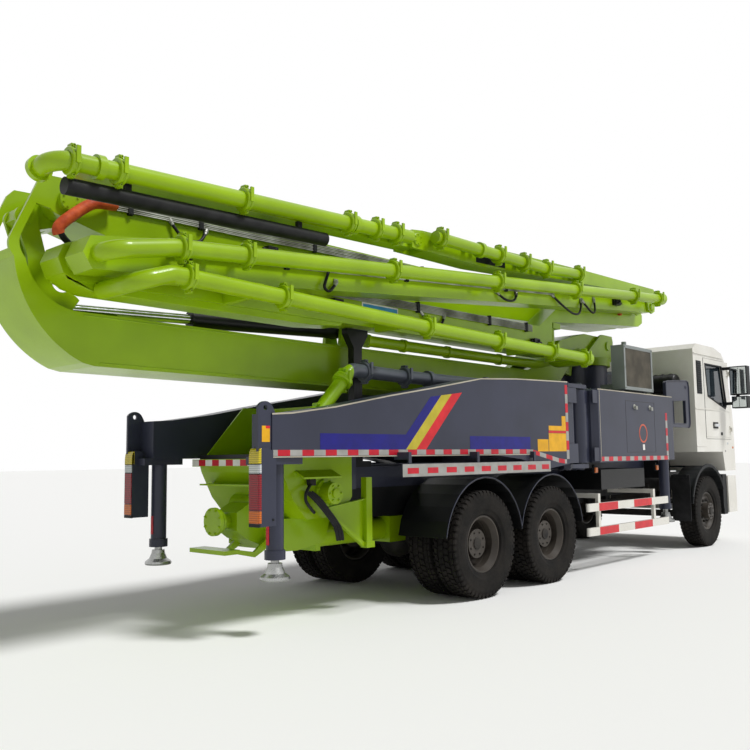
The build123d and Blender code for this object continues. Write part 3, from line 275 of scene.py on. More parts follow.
# Rolled aluminium cooler fins, dulled by dust and oil to a warm grey
def coolerFins():
    material, tree, surface = newMaterial("coolerFins", "#8d877b", metallic=0.2, roughness=0.55)
    varied(tree, surface, objectPlace(tree), ("#79746a", "#989284"), 4.0, (0.45, 0.68), 0.3, 150.0)
    return material


# Silvered mirror glass behind a clean pane
def mirrorGlass():
    material, tree, surface = newMaterial("mirrorGlass", "#cfd6d8", metallic=1.0, roughness=0.03)
    varied(tree, surface, objectPlace(tree), ("#c4cccf", "#dbe1e2"), 2.0, (0.02, 0.06))
    return material


# Woven polyester seat cloth over foam: dark grey, matt, with a weave about 3 mm across
def seatCloth():
    material, tree, surface = newMaterial("seatCloth", "#3a3b40", roughness=0.9, Sheen_Weight=0.3)
    varied(tree, surface, objectPlace(tree), ("#303136", "#45464c"), 12.0, (0.82, 0.95), 0.8, 330.0)
    return material


paints = {
    "limeEnamel": enamel("limeEnamel", "#9cc006", "#8cae03", coat=0.14, rough=(0.26, 0.38)),
    "slateEnamel": enamel("slateEnamel", "#343748", "#2d303f"),
    "whiteEnamel": enamel("whiteEnamel", "#eceae2", "#e0ddd3", coat=0.3, rough=(0.2, 0.32)),
    "pumpLine": twoToneEnamel("pumpLine", ("#a2cc10", "#92bd0a"), ("#5b6069", "#4c515b"), -2.86),
    # painted highlight: a pale cream enamel for the strips that stand in for light along the outriggers'
    # edges
    "edgeHighlightEnamel": enamel("edgeHighlightEnamel", "#c9c2b0", "#a69f8e", coat=0.1, rough=(0.4, 0.6)),
    "coolerFrame": enamel("coolerFrame", "#8b918f", "#7a807e", coat=0.1, rough=(0.35, 0.5)),
    "blackEnamel": enamel("blackEnamel", "#0f1011", "#0b0c0d", coat=0.05, rough=(0.35, 0.5)),
    "silverEnamel": zincTube("silverEnamel", "#b9bab8", "#8d8e8c", (0.22, 0.42)),
    "rimEnamel": enamel("rimEnamel", "#4b453e", "#36312c", coat=0.1, rough=(0.4, 0.6)),
    "tyreRubber": tyreRubber(),
    "hardChrome": hardChrome(),
    "castIron": castIron(),
    "mouldedPlastic": mouldedPlastic(),
    "tintedGlass": tintedGlass(),
    "whiteFilm": reflectiveFilm("whiteFilm", "#ecebe6", "#dddbd4"),
    "redFilm": reflectiveFilm("redFilm", "#cf1f30", "#b5162a"),
    "greyFilm": reflectiveFilm("greyFilm", "#a9a8a4", "#97958f"),
    "navyFilm": reflectiveFilm("navyFilm", "#15127c", "#120f6c"),
    "yellowFilm": reflectiveFilm("yellowFilm", "#c9b93a", "#b8a92f"),
    "signalYellow": reflectiveFilm("signalYellow", "#f0b41c", "#dca214"),
    "scarletFilm": reflectiveFilm("scarletFilm", "#dc2a33", "#c8222c"),
    "skyFilm": reflectiveFilm("skyFilm", "#2f93c4", "#2785b5"),
    "orangeFilm": reflectiveFilm("orangeFilm", "#cf5a3a", "#b94c2f"),
    "redLens": lampLens("redLens", "#a00d1c", "#6e0712"),
    "amberLens": lampLens("amberLens", "#e07414", "#b3560c"),
    "yellowLens": lampLens("yellowLens", "#d8c31f", "#b39f14"),
    "clearLens": lampLens("clearLens", "#d9dcdc", "#aab0b2"),
    "fireSleeve": fireSleeve(),
    "hoseRubber": hoseRubber(),
    "zincTube": zincTube(),
    "coolerFins": coolerFins(),
    "mirrorGlass": mirrorGlass(),
    "seatCloth": seatCloth(),
}

# The paint of each material slot of the solids, and of the nodes that differ from their slot
slotPaint = {
    "frame_paint": "blackEnamel", "cab_paint": "whiteEnamel", "boom_paint": "limeEnamel",
    "slate_paint": "slateEnamel", "tyre_rubber": "tyreRubber", "rim_paint": "rimEnamel",
    "glass": "tintedGlass", "trim_plastic": "mouldedPlastic", "rod_chrome": "hardChrome",
    "black_steel": "blackEnamel", "bare_steel": "castIron", "foot_paint": "silverEnamel",
    "stripe_paint": "whiteFilm", "hose_rubber": "hoseRubber", "cast_iron": "castIron",
}
nodePaint = {
    "delivery_line": "pumpLine", "oil_cooler": "coolerFrame", "air_cleaner": "blackEnamel",
    "side_guards": "whiteEnamel", "cab_interior": "seatCloth",
}
for part in frame["record"]["subparts"]:
    mesh = nodes[part["node"]].data
    mesh.materials.clear()
    mesh.materials.append(paints[nodePaint.get(part["node"], slotPaint[part["material_slot"]])])
print("materials made:", len(paints))


def layFloor(settings):
    # a pale floor and a white surround, with plain soft light
    bpy.ops.mesh.primitive_plane_add(size=settings["floorSize"], location=(0, 0, -0.001))
    floor = bpy.context.object
    floor.name = "floor"
    material, tree, surface = newMaterial("paleFloor", settings["floorColour"], roughness=0.9)
    floor.data.materials.append(material)
    world = scene.world or bpy.data.worlds.new("world")
    scene.world = world
    world.use_nodes = True
    tree = world.node_tree
    background = tree.nodes["Background"]
    background.inputs["Color"].default_value = linear("#ffffff")
    background.inputs["Strength"].default_value = settings["skyStrength"]
    output = tree.nodes["World Output"]
    seen = addNode(tree, "ShaderNodeBackground", (-200, -200),
                   inputs={"Color": linear("#ffffff"), "Strength": 1.0})
    ray = addNode(tree, "ShaderNodeLightPath", (-400, 300))
    seenBy = addNode(tree, "ShaderNodeMath", (-300, 300), {"operation": "ADD", "use_clamp": True}, None,
                     {0: ray.outputs["Is Camera Ray"], 1: ray.outputs["Is Glossy Ray"]})
    seenBy = addNode(tree, "ShaderNodeMath", (-200, 300), {"operation": "ADD", "use_clamp": True}, None,
                     {0: seenBy.outputs[0], 1: ray.outputs["Is Transmission Ray"]})
    mix = addNode(tree, "ShaderNodeMixShader", (0, 0), links={0: seenBy.outputs[0]})
    tree.links.new(background.outputs["Background"], mix.inputs[1])
    tree.links.new(seen.outputs["Background"], mix.inputs[2])
    tree.links.new(mix.outputs["Shader"], output.inputs["Surface"])
    sun = bpy.data.objects.new("sun", bpy.data.lights.new("sun", "SUN"))
    scene.collection.objects.link(sun)
    sun.data.energy = settings["sunStrength"]
    sun.data.angle = radians(settings["sunSpread"])
    sun.rotation_euler = Vector(settings["sunFrom"]).to_track_quat("Z", "Y").to_euler()


layFloor(viewSettings)


# Shapes below are given in millimetres of the truck's own frame and scaled here
def closeRings(shape, near, far):
    # the faces between two rings of corners, and over both ends
    shape.faces.new(near)
    shape.faces.new(list(reversed(far)))
    for i in range(len(near)):
        j = (i + 1) % len(near)
        shape.faces.new((near[i], near[j], far[j], far[i]))


def addPrism(shape, outline, low, high, plane="xz"):
    # an outline in one plane, carried from low to high across it
    order = {"xz": (0, 2, 1), "xy": (0, 1, 2), "yz": (2, 0, 1)}[plane]
    rings = []
    for depth in (low, high):
        corners = [(a, b, depth) for a, b in outline]
        rings.append([shape.verts.new([corner[i] / 1000 for i in order]) for corner in corners])
    closeRings(shape, *rings)


def addBox(shape, x0, x1, y0, y1, z0, z1):
    addPrism(shape, [(x0, z0), (x1, z0), (x1, z1), (x0, z1)], y0, y1)


def boxes(*places):
    # what builds several boxes at once
    def build(shape):
        for place in places:
            addBox(shape, *place)
    return build


def addTurned(shape, rings, start, ahead, sides=24, closed=False):
    # turned on a line: each ring is (distance along it, radius); closed joins the last ring to the first
    ahead = Vector(ahead).normalized()
    across = ahead.orthogonal().normalized()
    up = ahead.cross(across)
    loops = []
    for distance, radius in rings:
        centre = Vector(start) + ahead * distance
        turns = [2 * pi * i / sides for i in range(sides)]
        corners = [centre + (across * cos(t) + up * sin(t)) * radius for t in turns]
        loops.append([shape.verts.new(corner / 1000) for corner in corners])      # mm to metres
    pairs = list(zip(loops, loops[1:])) + ([(loops[-1], loops[0])] if closed else [])
    for a, b in pairs:
        for i in range(sides):
            j = (i + 1) % sides
            shape.faces.new((a[i], a[j], b[j], b[i]))
    if not closed:
        shape.faces.new(list(reversed(loops[0])))
        shape.faces.new(loops[-1])


def addNut(shape, place, ahead, radius, height):
    # a hexagon nut on its washer with the stud's end
    addTurned(shape, [(0, radius * 1.25), (3, radius * 1.25)], place, ahead, 16)
    addTurned(shape, [(3, radius), (height, radius), (height + 2, radius * 0.85)], place, ahead, 6)
    addTurned(shape, [(height, radius * 0.5), (height * 1.5, radius * 0.5)], place, ahead, 10)


def addBoltRing(shape, centre, ahead, ring, count, radius, height, turned=0.0):
    # nuts evenly round a circle; ahead is along x, y or z, and turned shifts them by a share of their spacing
    first, second = [i for i in range(3) if not ahead[i]]
    for i in range(count):
        turn = 2 * pi * (i + turned) / count
        place = list(centre)
        place[first] += ring * cos(turn)
        place[second] += ring * sin(turn)
        addNut(shape, place, ahead, radius, height)


def addBead(shape, line, y, radius, sides=8, past=0):
    # a round bead along a bent line at one y, run a little past each corner
    for (x0, z0), (x1, z1) in zip(line, line[1:]):
        ahead = Vector((x1 - x0, 0, z1 - z0))
        addTurned(shape, [(-past, radius), (ahead.length + past, radius)], (x0, y, z0), ahead, sides)


def addFilm(shape, outline, faceY, proud):
    # a thin sheet of film on an upright face, whose y at each x comes from faceY
    near = [shape.verts.new((x / 1000, (faceY(x) - proud) / 1000, z / 1000)) for x, z in outline]
    far = [shape.verts.new((x / 1000, (faceY(x) + 1) / 1000, z / 1000)) for x, z in outline]
    closeRings(shape, near, far)


def softenEdges(thing, widthMm, fromDegrees=30):
    # a small rounded edge wherever two faces meet at more than this angle
    bevel = thing.modifiers.new("softEdge", "BEVEL")
    bevel.width = widthMm / 1000
    bevel.segments = 2
    bevel.limit_method = "ANGLE"
    bevel.angle_limit = radians(fromDegrees)
    bevel.harden_normals = True


def finishPiece(name, mesh, paint):
    # an object for the mesh, with its paint and slot, smooth but for edges sharper than 38 degrees
    mesh.materials.clear()
    mesh.materials.append(paints[paint])
    mesh.polygons.foreach_set("use_smooth", [True] * len(mesh.polygons))
    mesh.set_sharp_from_angle(angle=radians(38))
    piece = bpy.data.objects.new(name, mesh)
    scene.collection.objects.link(piece)
    return piece


def newPiece(name, body, paint, build, otherSide=False, bevelMm=0.0):
    # one piece made by build in the right-hand place, or its mirror image on the left
    shape = bmesh.new()
    build(shape)
    if otherSide:
        for vertex in shape.verts:
            vertex.co.y = -vertex.co.y
    bmesh.ops.recalc_face_normals(shape, faces=shape.faces)
    mesh = bpy.data.meshes.new(name)
    shape.to_mesh(mesh)
    shape.free()
    piece = finishPiece(name, mesh, paint)
    if bevelMm:
        softenEdges(piece, bevelMm)
    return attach(piece, body)


def newPair(name, body, paint, build, bevelMm=0.0):
    # the same piece on the right and on the left; {side} in the body's name is filled in
    for side, otherSide in (("right", False), ("left", True)):
        newPiece(name + side.capitalize(), body.format(side=side), paint, build, otherSide, bevelMm)


def newTubes(name, body, paint, routes, radiusMm, joint=None):
    # tubes of one size along routes of points; with a joint they are attached to no body and keep their place
    # baked in
    curve = bpy.data.curves.new(name + "Line", "CURVE")
    curve.dimensions = "3D"
    curve.bevel_depth = radiusMm / 1000
    curve.bevel_resolution = 3
    curve.resolution_u = 5
    curve.use_fill_caps = True
    for route in routes:
        spline = curve.splines.new("NURBS")
        spline.points.add(len(route) - 1)
        for point, (x, y, z) in zip(spline.points, route):
            point.co = (x / 1000, y / 1000, z / 1000, 1)
        spline.order_u = 3 if len(route) > 2 else 2
        spline.use_endpoint_u = True
    line = bpy.data.objects.new(name + "Line", curve)
    scene.collection.objects.link(line)
    bpy.context.view_layer.update()
    mesh = bpy.data.meshes.new_from_object(line.evaluated_get(bpy.context.evaluated_depsgraph_get()))
    bpy.data.objects.remove(line)
    piece = finishPiece(name, mesh, paint)
    if joint:
        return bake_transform(piece)
    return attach(piece, body)


# Tyres: each is turned, with tread blocks round it and the raised rings that a truck tyre's wall has
tyreSettings = {
    "radius": 550, "rimRadius": 292, "width": 285, "grooveDepth": 17,
    # the wall from the bead out: its place in half widths and its height over the rim; the shoulder's is over
    # the base of the tread
    "wall": ((0.70, 2), (0.86, 18), (0.93, 60), (0.955, 64), (0.97, 74), (0.985, 120), (1.0, 150),
             (0.985, 178), (0.99, 182), (0.98, 190)),
    "shoulder": ((0.95, -14), (0.86, 0)),
    "rows": ((-0.66, 0.24), (-0.22, 0.36), (0.22, 0.36), (0.66, 0.24)),      # place and width in half widths
    "blocksRound": 52, "blockReach": 0.36, "blockSkew": 0.25, "blockRoot": 3,
    "lugsRound": 52, "lugReach": 0.62, "lugDepth": 52,
}


def addTyre(shape, x, y, settings):
    outer, rim, half = settings["radius"], settings["rimRadius"], settings["width"] / 2
    base = outer - settings["grooveDepth"]

    def corner(radius, turn, across):
        return shape.verts.new(((x + radius * sin(turn)) / 1000, across / 1000,
                                (outer + radius * cos(turn)) / 1000))

    wall = [(-half * share, rim + rise) for share, rise in settings["wall"]]
    wall += [(-half * share, base + rise) for share, rise in settings["shoulder"]]
    section = wall + [(-a, r) for a, r in reversed(wall)]
    addTurned(shape, section, (x, y, outer), (0, 1, 0), 72, closed=True)
    count = settings["blocksRound"]
    for row, (place, width) in enumerate(settings["rows"]):
        for i in range(count):
            turn = 2 * pi * (i + 0.5 * (row % 2)) / count
            reach = 2 * pi / count * settings["blockReach"]
            skew = settings["blockSkew"] * reach * (1 if row % 2 else -1)
            corners = [(turn + end * reach + side * skew, y + (place + side * width / 2) * half)
                       for side in (-1, 1) for end in (-1, 1)]
            lows = [corner(base - settings["blockRoot"], *spot) for spot in corners]
            tops = [corner(outer, *spot) for spot in corners]
            shape.faces.new([tops[a] for a in (0, 1, 3, 2)])
            shape.faces.new([lows[a] for a in (2, 3, 1, 0)])
            for a, b in ((0, 1), (1, 3), (3, 2), (2, 0)):
                shape.faces.new((lows[a], lows[b], tops[b], tops[a]))
    reach = pi / settings["lugsRound"] * settings["lugReach"]
    # a lug's section down the shoulder: radius, and place in half widths
    lug = ((outer - settings["lugDepth"], 0.985), (outer - 12, 0.965), (outer, 0.86), (base - 6, 0.78))
    for i in range(settings["lugsRound"]):
        turn = 2 * pi * i / settings["lugsRound"]
        for side in (-1, 1):
            ring = [corner(radius, turn + end * reach, y + side * across * half)
                    for radius, across in lug for end in (-1, 1)]
            for a in (0, 2, 4):
                shape.faces.new((ring[a], ring[a + 1], ring[a + 3], ring[a + 2]))
            shape.faces.new((ring[0], ring[2], ring[4], ring[6]))
            shape.faces.new((ring[1], ring[7], ring[5], ring[3]))
            shape.faces.new((ring[0], ring[6], ring[7], ring[1]))


def wheelSpots():
    # each wheel: its body, its tyre's node, the x and y of its tyres, and its side
    spots = []
    for side, sign in (("right", -1), ("left", 1)):
        low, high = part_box("front_tyre_" + side)
        centre = [(low[i] + high[i]) * 500 for i in range(2)]
        spots.append(("front_wheel_" + side, "front_tyre_" + side, [centre], sign))
        for number in (1, 2):
            low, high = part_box(f"tyres_{number}_{side}")
            x = (low[0] + high[0]) * 500
            half = tyreSettings["width"] / 2
            ys = (low[1] * 1000 + half, high[1] * 1000 - half)
            centres = [(x, y) for y in ys]
            spots.append((f"rear_wheel_{number}_{side}", f"tyres_{number}_{side}", centres, sign))
    return spots


for body, node, centres, sign in wheelSpots():
    def buildTyres(shape):
        for x, y in centres:
            addTyre(shape, x, y, tyreSettings)
    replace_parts(newPiece("tread_" + body, body, "tyreRubber", buildTyres), node)
print("tyres made:", len(wheelSpots()))

# Wheel fastenings: nuts on the disc, hub flange bolts, the hub's cap, and the hollow cone of the disc
wheelSettings = {
    "front": {"discY": 1110, "nutRing": 167, "hubY": 1215, "boltRing": 97.5,
              "dish": [(-42, 262), (4, 236), (14, 214), (14, 206), (8, 206), (-30, 250)]},
    "rear": {"discY": 930, "nutRing": 196, "hubY": 1090, "boltRing": 117.0,
             "dish": [(96, 262), (84, 250), (26, 236), (8, 226), (2, 232), (60, 256)]},
    "nuts": 10, "nut": (19, 24), "bolts": 8, "bolt": (9, 7),      # how many, then radius and height
    "cap": [(0, 62), (10, 60), (14, 40)],
}
for body, node, centres, sign in wheelSpots():
    settings = wheelSettings["front" if body.startswith("front") else "rear"]
    disc = (centres[0][0], sign * settings["discY"], tyreSettings["radius"])
    hub = (centres[0][0], sign * settings["hubY"], tyreSettings["radius"])
    outward = (0, sign, 0)

    def buildNuts(shape):
        addBoltRing(shape, disc, outward, settings["nutRing"], wheelSettings["nuts"], *wheelSettings["nut"])
        addBoltRing(shape, hub, outward, settings["boltRing"], wheelSettings["bolts"], *wheelSettings["bolt"],
                    turned=0.5)
        addTurned(shape, wheelSettings["cap"], hub, outward)

    def buildDish(shape):
        addTurned(shape, settings["dish"], disc, outward, 48, closed=True)
        addTurned(shape, [(0, 6), (6, 6)], disc, outward)
    newPiece("nuts_" + body, body, "castIron", buildNuts)
    newPiece("dish_" + body, body, "rimEnamel", buildDish)
print("wheel fastenings made")


# Rear outriggers: three slanting stripes, two bare panels, tapes, painted highlights along the top and lower
# edges, and labels without words
rearOutriggerSettings = {
    "faceAtZero": -1172.6, "faceSlope": -0.041989,
    "navy": [(-2122, 2048), (-1960, 2069), (-2495, 1526), (-3588, 1526), (-3588, 1668), (-2494, 1668)],
    "yellow": [(-1960, 2069), (-1793, 2091), (-2348, 1526), (-2495, 1526)],
    "red": [(-1793, 2091), (-1625, 2113), (-2204, 1526), (-2348, 1526)],
    "secondPanel": (-1507, -408, 1526, 1664),
    "tapeLine": [(-4100, 1475), (-380, 1475), (-230, 1446), (250, 1354), (412, 1354)],
    "tape": {"first": 46, "step": 132, "height": 50, "start": -4100, "end": 348},
    "frontTape": (352, 408, 1408, 2300), "frontTapeStep": 112,
    "labels": [(-259, -38, 1500, 1640), (-21, 262, 1745, 1800), (262, 348, 1745, 1920),
               (-25, 348, 1500, 1712)],
    "labelHead": (-25, 348, 1716, 1742),
    "topEdge": [(-4110, 1827), (-3900, 1840), (-3400, 1910), (-2700, 2040), (-2100, 2140), (-1300, 2283),
                (-650, 2319), (415, 2345)],
    "lowEdge": (-4100, -380, 1462, 1471), "edgeWidth": 13,
    "earY": -990, "earLabel": (-4212, -4128, 1590, 1722), "earLabelHead": (-4172, -4128, 1700, 1722),
}


def rearFace(x):
    return rearOutriggerSettings["faceAtZero"] + rearOutriggerSettings["faceSlope"] * x


def flatFace(y):
    return lambda x: y


def lineAt(line, x):
    # the height of a bent line at x
    for (x0, z0), (x1, z1) in zip(line, line[1:]):
        if x <= x1:
            return z0 + (z1 - z0) * (x - x0) / (x1 - x0)
    return line[-1][1]


def rectangle(x0, x1, z0, z1):
    return [(x0, z0), (x1, z0), (x1, z1), (x0, z1)]


def tapePatches(line, wanted, first, step, height, start, end):
    # the outlines of every other patch of a two-coloured tape along a line
    places, x, number = [], start, 0
    while x < end - 1:
        far = min(x + (first if number == 0 else step), end)
        if number % 2 == wanted:
            places.append([(x, lineAt(line, x)), (far, lineAt(line, far)),
                           (far, lineAt(line, far) + height), (x, lineAt(line, x) + height)])
        x, number = far, number + 1
    return places


def tapeDown(x0, x1, z0, z1, wanted, step):
    # every other patch of an upright tape, from its top down
    places, z, number = [], z1, 0
    while z > z0:
        low = max(z - step, z0)
        if number % 2 == wanted:
            places.append(rectangle(x0, x1, low, z))
        z, number = low, number + 1
    return places


def sheets(outlines, face=rearFace, proud=1.6):
    # what builds sheets of film with these outlines on one face
    def build(shape):
        for outline in outlines:
            addFilm(shape, outline, face, proud)
    return build


settings = rearOutriggerSettings
body = "rear_outrigger_{side}"
newPair("navyStripe", body, "navyFilm", sheets([settings["navy"], rectangle(*settings["secondPanel"])]))
newPair("yellowStripe", body, "yellowFilm", sheets([settings["yellow"]]))
newPair("redStripe", body, "scarletFilm", sheets([settings["red"]]))
for wanted, paint, name in ((1, "redFilm", "tapeRed"), (0, "greyFilm", "tapeGrey")):
    outlines = tapePatches(settings["tapeLine"], wanted, **settings["tape"])
    outlines += tapeDown(*settings["frontTape"], 1 - wanted, settings["frontTapeStep"])
    newPair(name, body, paint, sheets(outlines))
newPair("labelYellow", body, "signalYellow", sheets([rectangle(*r) for r in settings["labels"]], proud=1.4))
newPair("labelRed", body, "scarletFilm", sheets([rectangle(*settings["labelHead"])], proud=1.8))
# painted highlights: pale strips along the top edge and the lower edge, standing in for the light on the
# plate's edges
edges = [[(x0, z0 - settings["edgeWidth"]), (x1, z1 - settings["edgeWidth"]), (x1, z1), (x0, z0)]
         for (x0, z0), (x1, z1) in zip(settings["topEdge"], settings["topEdge"][1:])]
newPair("paintedEdgeHighlight", body, "edgeHighlightEnamel", sheets(edges + [rectangle(*settings["lowEdge"])]))
earFace = flatFace(settings["earY"])
newPair("earLabel", body, "signalYellow", sheets([rectangle(*settings["earLabel"])], earFace))
newPair("earLabelHead", body, "scarletFilm", sheets([rectangle(*settings["earLabelHead"])], earFace, 2.0))

# Board over the rear wheels: red patches on a grey-white back
boardSettings = {"y": -1222, "back": (-2728, -92, 1270, 1388), "z0": 1298, "z1": 1352,
                 "start": -2660, "lastStart": -170, "end": -130, "patch": 165, "space": 132}


def boardPatches(settings):
    places, x = [], settings["start"]
    while x < settings["lastStart"]:
        far = min(x + settings["patch"], settings["end"])
        places.append(rectangle(x, far, settings["z0"], settings["z1"]))
        x += settings["patch"] + settings["space"]
    return places


boardFace = flatFace(boardSettings["y"])
newPair("boardWhite", body, "greyFilm", sheets([rectangle(*boardSettings["back"])], boardFace, 1.0))
newPair("boardRed", body, "redFilm", sheets(boardPatches(boardSettings), boardFace, 1.8))

# Tail lamps on the rear outriggers: red, amber, clear and the curved yellow reflector above
lampSettings = {
    "x": -4251, "y0": -1000, "y1": -880,
    "cells": [("redLens", 1040, 1330), ("amberLens", 935, 1036), ("clearLens", 1336, 1408)],
    "reflector": [(-4257, 1415), (-4256, 1468), (-4250, 1512), (-4238, 1536), (-4225, 1541), (-4225, 1415)],
    "sill": (-4252, -4236, -1004, -876, 906, 932), "bars": (1330, 1410), "screw": (-4100, -1001, 960),
}
x, y0, y1 = (lampSettings[key] for key in ("x", "y0", "y1"))
for paint, z0, z1 in lampSettings["cells"]:
    newPair("tailLamp_" + paint, body, paint,
            boxes((x - 6, x + 14, y0, y1, z0, z1), (x + 2, x + 30, y0 - 3, y0 + 10, z0, z1)), 4)
newPair("tailReflector", body, "yellowLens",
        lambda shape: addPrism(shape, lampSettings["reflector"], y0 - 3, y1 + 2), 3)


def buildLampCaseTrim(shape):
    addBox(shape, *lampSettings["sill"])
    for z in lampSettings["bars"]:
        addBox(shape, x - 3, x + 11, y0 - 3, y1 + 3, z, z + 5)
    addTurned(shape, [(0, 9), (6, 9), (8, 6)], lampSettings["screw"], (0, -1, 0), 8)


newPair("tailLampTrim", body, "mouldedPlastic", buildLampCaseTrim)
newPair("legTape", body, "redFilm", boxes((-4041, -4034, -872, -840, 742, 915)))

# Pivots between the outriggers: flanged plates over the barrels, and caps with bolts on the pins' ends
pivotSettings = {
    "rear": (415, 640), "rearY": -1188, "rearBands": ((2090, 2275), (1357, 1592)), "rearPanel": (445, 570),
    "front": (1040, 1172), "frontY": -1196, "frontBands": ((2110, 2278), (1372, 1545)), "plate": 14,
    "frontPanel": [(1172, -1192), (1130, -1150), (1108, -1100), (1104, -1040), (1116, -1040), (1120, -1098),
                   (1140, -1142), (1172, -1172)],
    "pins": (620, 960), "pinY": -1000, "pinEnds": ((2345, 1), (1287, -1)),
    "cap": [(-2, 84), (10, 84), (14, 78)],
    "bolts": 6, "boltRing": 60, "bolt": (10, 9),
}


def buildRearPivot(shape):
    x0, x1 = pivotSettings["rear"]
    y = pivotSettings["rearY"]
    for z0, z1 in pivotSettings["rearBands"]:
        addBox(shape, x0, x1, y, y + pivotSettings["plate"], z0, z1)
    x0, x1 = pivotSettings["rearPanel"]
    addBox(shape, x0, x1, y + 34, y + 44, 1592, 2090)


def buildFrontPivot(shape):
    x0, x1 = pivotSettings["front"]
    y = pivotSettings["frontY"]
    for z0, z1 in pivotSettings["frontBands"]:
        addBox(shape, x0, x1, y, y + pivotSettings["plate"], z0, z1)
    addPrism(shape, pivotSettings["frontPanel"], 1545, 2110, "xy")


def buildPivotCaps(shape):
    y = pivotSettings["pinY"]
    for x in pivotSettings["pins"]:
        for z, way in pivotSettings["pinEnds"]:
            addTurned(shape, pivotSettings["cap"], (x, y, z), (0, 0, way), 28)
            addBoltRing(shape, (x, y, z + 12 * way), (0, 0, way), pivotSettings["boltRing"],
                        pivotSettings["bolts"], *pivotSettings["bolt"])


newPair("pivotPlates", "rear_outrigger_{side}", "slateEnamel", buildRearPivot, 4)
newPair("pivotLugs", "front_outrigger_{side}", "slateEnamel", buildFrontPivot, 4)
newPair("pivotCaps", "chassis", "slateEnamel", buildPivotCaps)

# Front outriggers: tapes, a ring label, two latch handles, a door seam, painted highlights along the top edge
# and one upright edge, and the plate's rim
frontOutriggerSettings = {
    "y": -1200, "tapeLine": [(1216, 1372), (3295, 1372)],
    "tape": {"first": 70, "step": 123, "height": 56, "start": 1216, "end": 3293},
    "endTape": (3229, 3292, 1432, 2050), "endStep": 110,
    "ring": (2467, 1741), "ringOuter": 130, "ringInner": 108, "tag": (2438, 2502, 1512, 1590),
    "handles": [(2223, 2105), (2715, 2106)],
    "doorSeam": (1950, 2860, 1480, 2180), "seamWidth": 5,
    "highlightStrips": [(1172, 3495, 2288, 2300), (1206, 1214, 1360, 2298)],
    "plateRim": [(3290, 2300), (3290, 2505), (3330, 2525), (4060, 2572), (4128, 2550), (4152, 2480),
                 (4152, 1920), (4130, 1868), (4080, 1850)],
    "windowRim": [(3545, 1905), (3985, 1905), (3999, 1930), (3999, 2270), (3545, 2240), (3545, 1905)],
    "plateEye": (4040, 2470),
}
settings = frontOutriggerSettings
body = "front_outrigger_{side}"
frontY = settings["y"]
frontFace = flatFace(frontY)
for wanted, paint, name in ((0, "redFilm", "frontTapeRed"), (1, "greyFilm", "frontTapeGrey")):
    outlines = tapePatches(settings["tapeLine"], wanted, **settings["tape"])
    outlines += tapeDown(*settings["endTape"], wanted, settings["endStep"])
    newPair(name, body, paint, sheets(outlines, frontFace))


def buildRing(shape):
    x, z = frontOutriggerSettings["ring"]
    outer, inner = frontOutriggerSettings["ringOuter"], frontOutriggerSettings["ringInner"]
    addTurned(shape, [(-1, outer), (1.8, outer), (1.8, inner), (-1, inner)], (x, frontY, z), (0, -1, 0), 48,
              closed=True)


def buildHandles(shape):
    # each latch: a round cup, its spindle and the folded grip
    for x, z in frontOutriggerSettings["handles"]:
        addTurned(shape, [(-2, 34), (5, 34), (7, 30)], (x, frontY, z), (0, -1, 0), 20)
        addTurned(shape, [(5, 12), (26, 12)], (x, frontY, z), (0, -1, 0), 12)
        addBox(shape, x - 8, x + 46, frontY - 30, frontY - 20, z - 40, z + 8)


def buildPlateRim(shape):
    # the welded rim round the outer frame plate, its window and its eye
    addBead(shape, frontOutriggerSettings["plateRim"], frontY - 4, 9)
    addBead(shape, frontOutriggerSettings["windowRim"], frontY - 2, 7)
    x, z = frontOutriggerSettings["plateEye"]
    addTurned(shape, [(0, 30), (6, 30), (6, 18), (0, 18)], (x, frontY, z), (0, -1, 0), 20, closed=True)


newPair("ringLabel", body, "orangeFilm", buildRing)
newPair("tagLabel", body, "whiteFilm", sheets([rectangle(*settings["tag"])], frontFace))
newPair("latchHandles", body, "zincTube", buildHandles, 2)
x0, x1, z0, z1 = settings["doorSeam"]
width = settings["seamWidth"]
seam = [(x0, x1, z0, z0 + width), (x0, x1, z1 - width, z1), (x0, x0 + width, z0, z1),
        (x1 - width, x1, z0, z1)]
newPair("doorSeam", body, "blackEnamel", sheets([rectangle(*r) for r in seam], frontFace, 1.2))
# painted highlights: pale strips along the top edge and one upright edge, standing in for the light on them
newPair("frontPaintedEdgeHighlight", body, "edgeHighlightEnamel", sheets([rectangle(*r) for r in settings["highlightStrips"]], frontFace))
newPair("framePlateRim", body, "slateEnamel", buildPlateRim)
print("outriggers dressed")

# Guards and lamps along the sides: red patches, rounded ends, amber lamps in their cases
guardSettings = {"y": -1165, "ends": ((905, -1), (3280, 1)), "bands": ((747, 843), (447, 543)),
                 "red": ((1165, 1685), (2165, 2725)), "lamps": (1210, 3060)}
redPatches = [rectangle(x0, x1, z0, z1)
              for z0, z1 in guardSettings["bands"] for x0, x1 in guardSettings["red"]]
newPair("guardRed", "chassis", "scarletFilm", sheets(redPatches, flatFace(guardSettings["y"]), 2.0))


def buildGuardEnds(shape):
    for z0, z1 in guardSettings["bands"]:
        for x, way in guardSettings["ends"]:
            line = [(x, -1166), (x + way * 3, -1166), (x + way * 22, -1150), (x + way * 22, -1130),
                    (x, -1124)]
            addPrism(shape, line, z0 - 2, z1 + 2, "xy")


def lampCase(x):
    # the case behind the lamp, its stalk and its bracket
    return ((x - 42, x + 42, -1112, -1080, 1218, 1302), (x - 12, x + 12, -1100, -1060, 1300, 1330),
            (x - 12, x + 12, -1100, -1052, 1240, 1256))


newPair("guardEnds", "chassis", "whiteEnamel", buildGuardEnds, 2)
newPair("sideLamps", "chassis", "amberLens",
        boxes(*((x - 34, x + 34, -1128, -1096, 1226, 1294) for x in guardSettings["lamps"])), 6)
newPair("sideLampCases", "chassis", "mouldedPlastic",
        boxes(*(box for x in guardSettings["lamps"] for box in lampCase(x))), 3)
print("guards and lamps made")


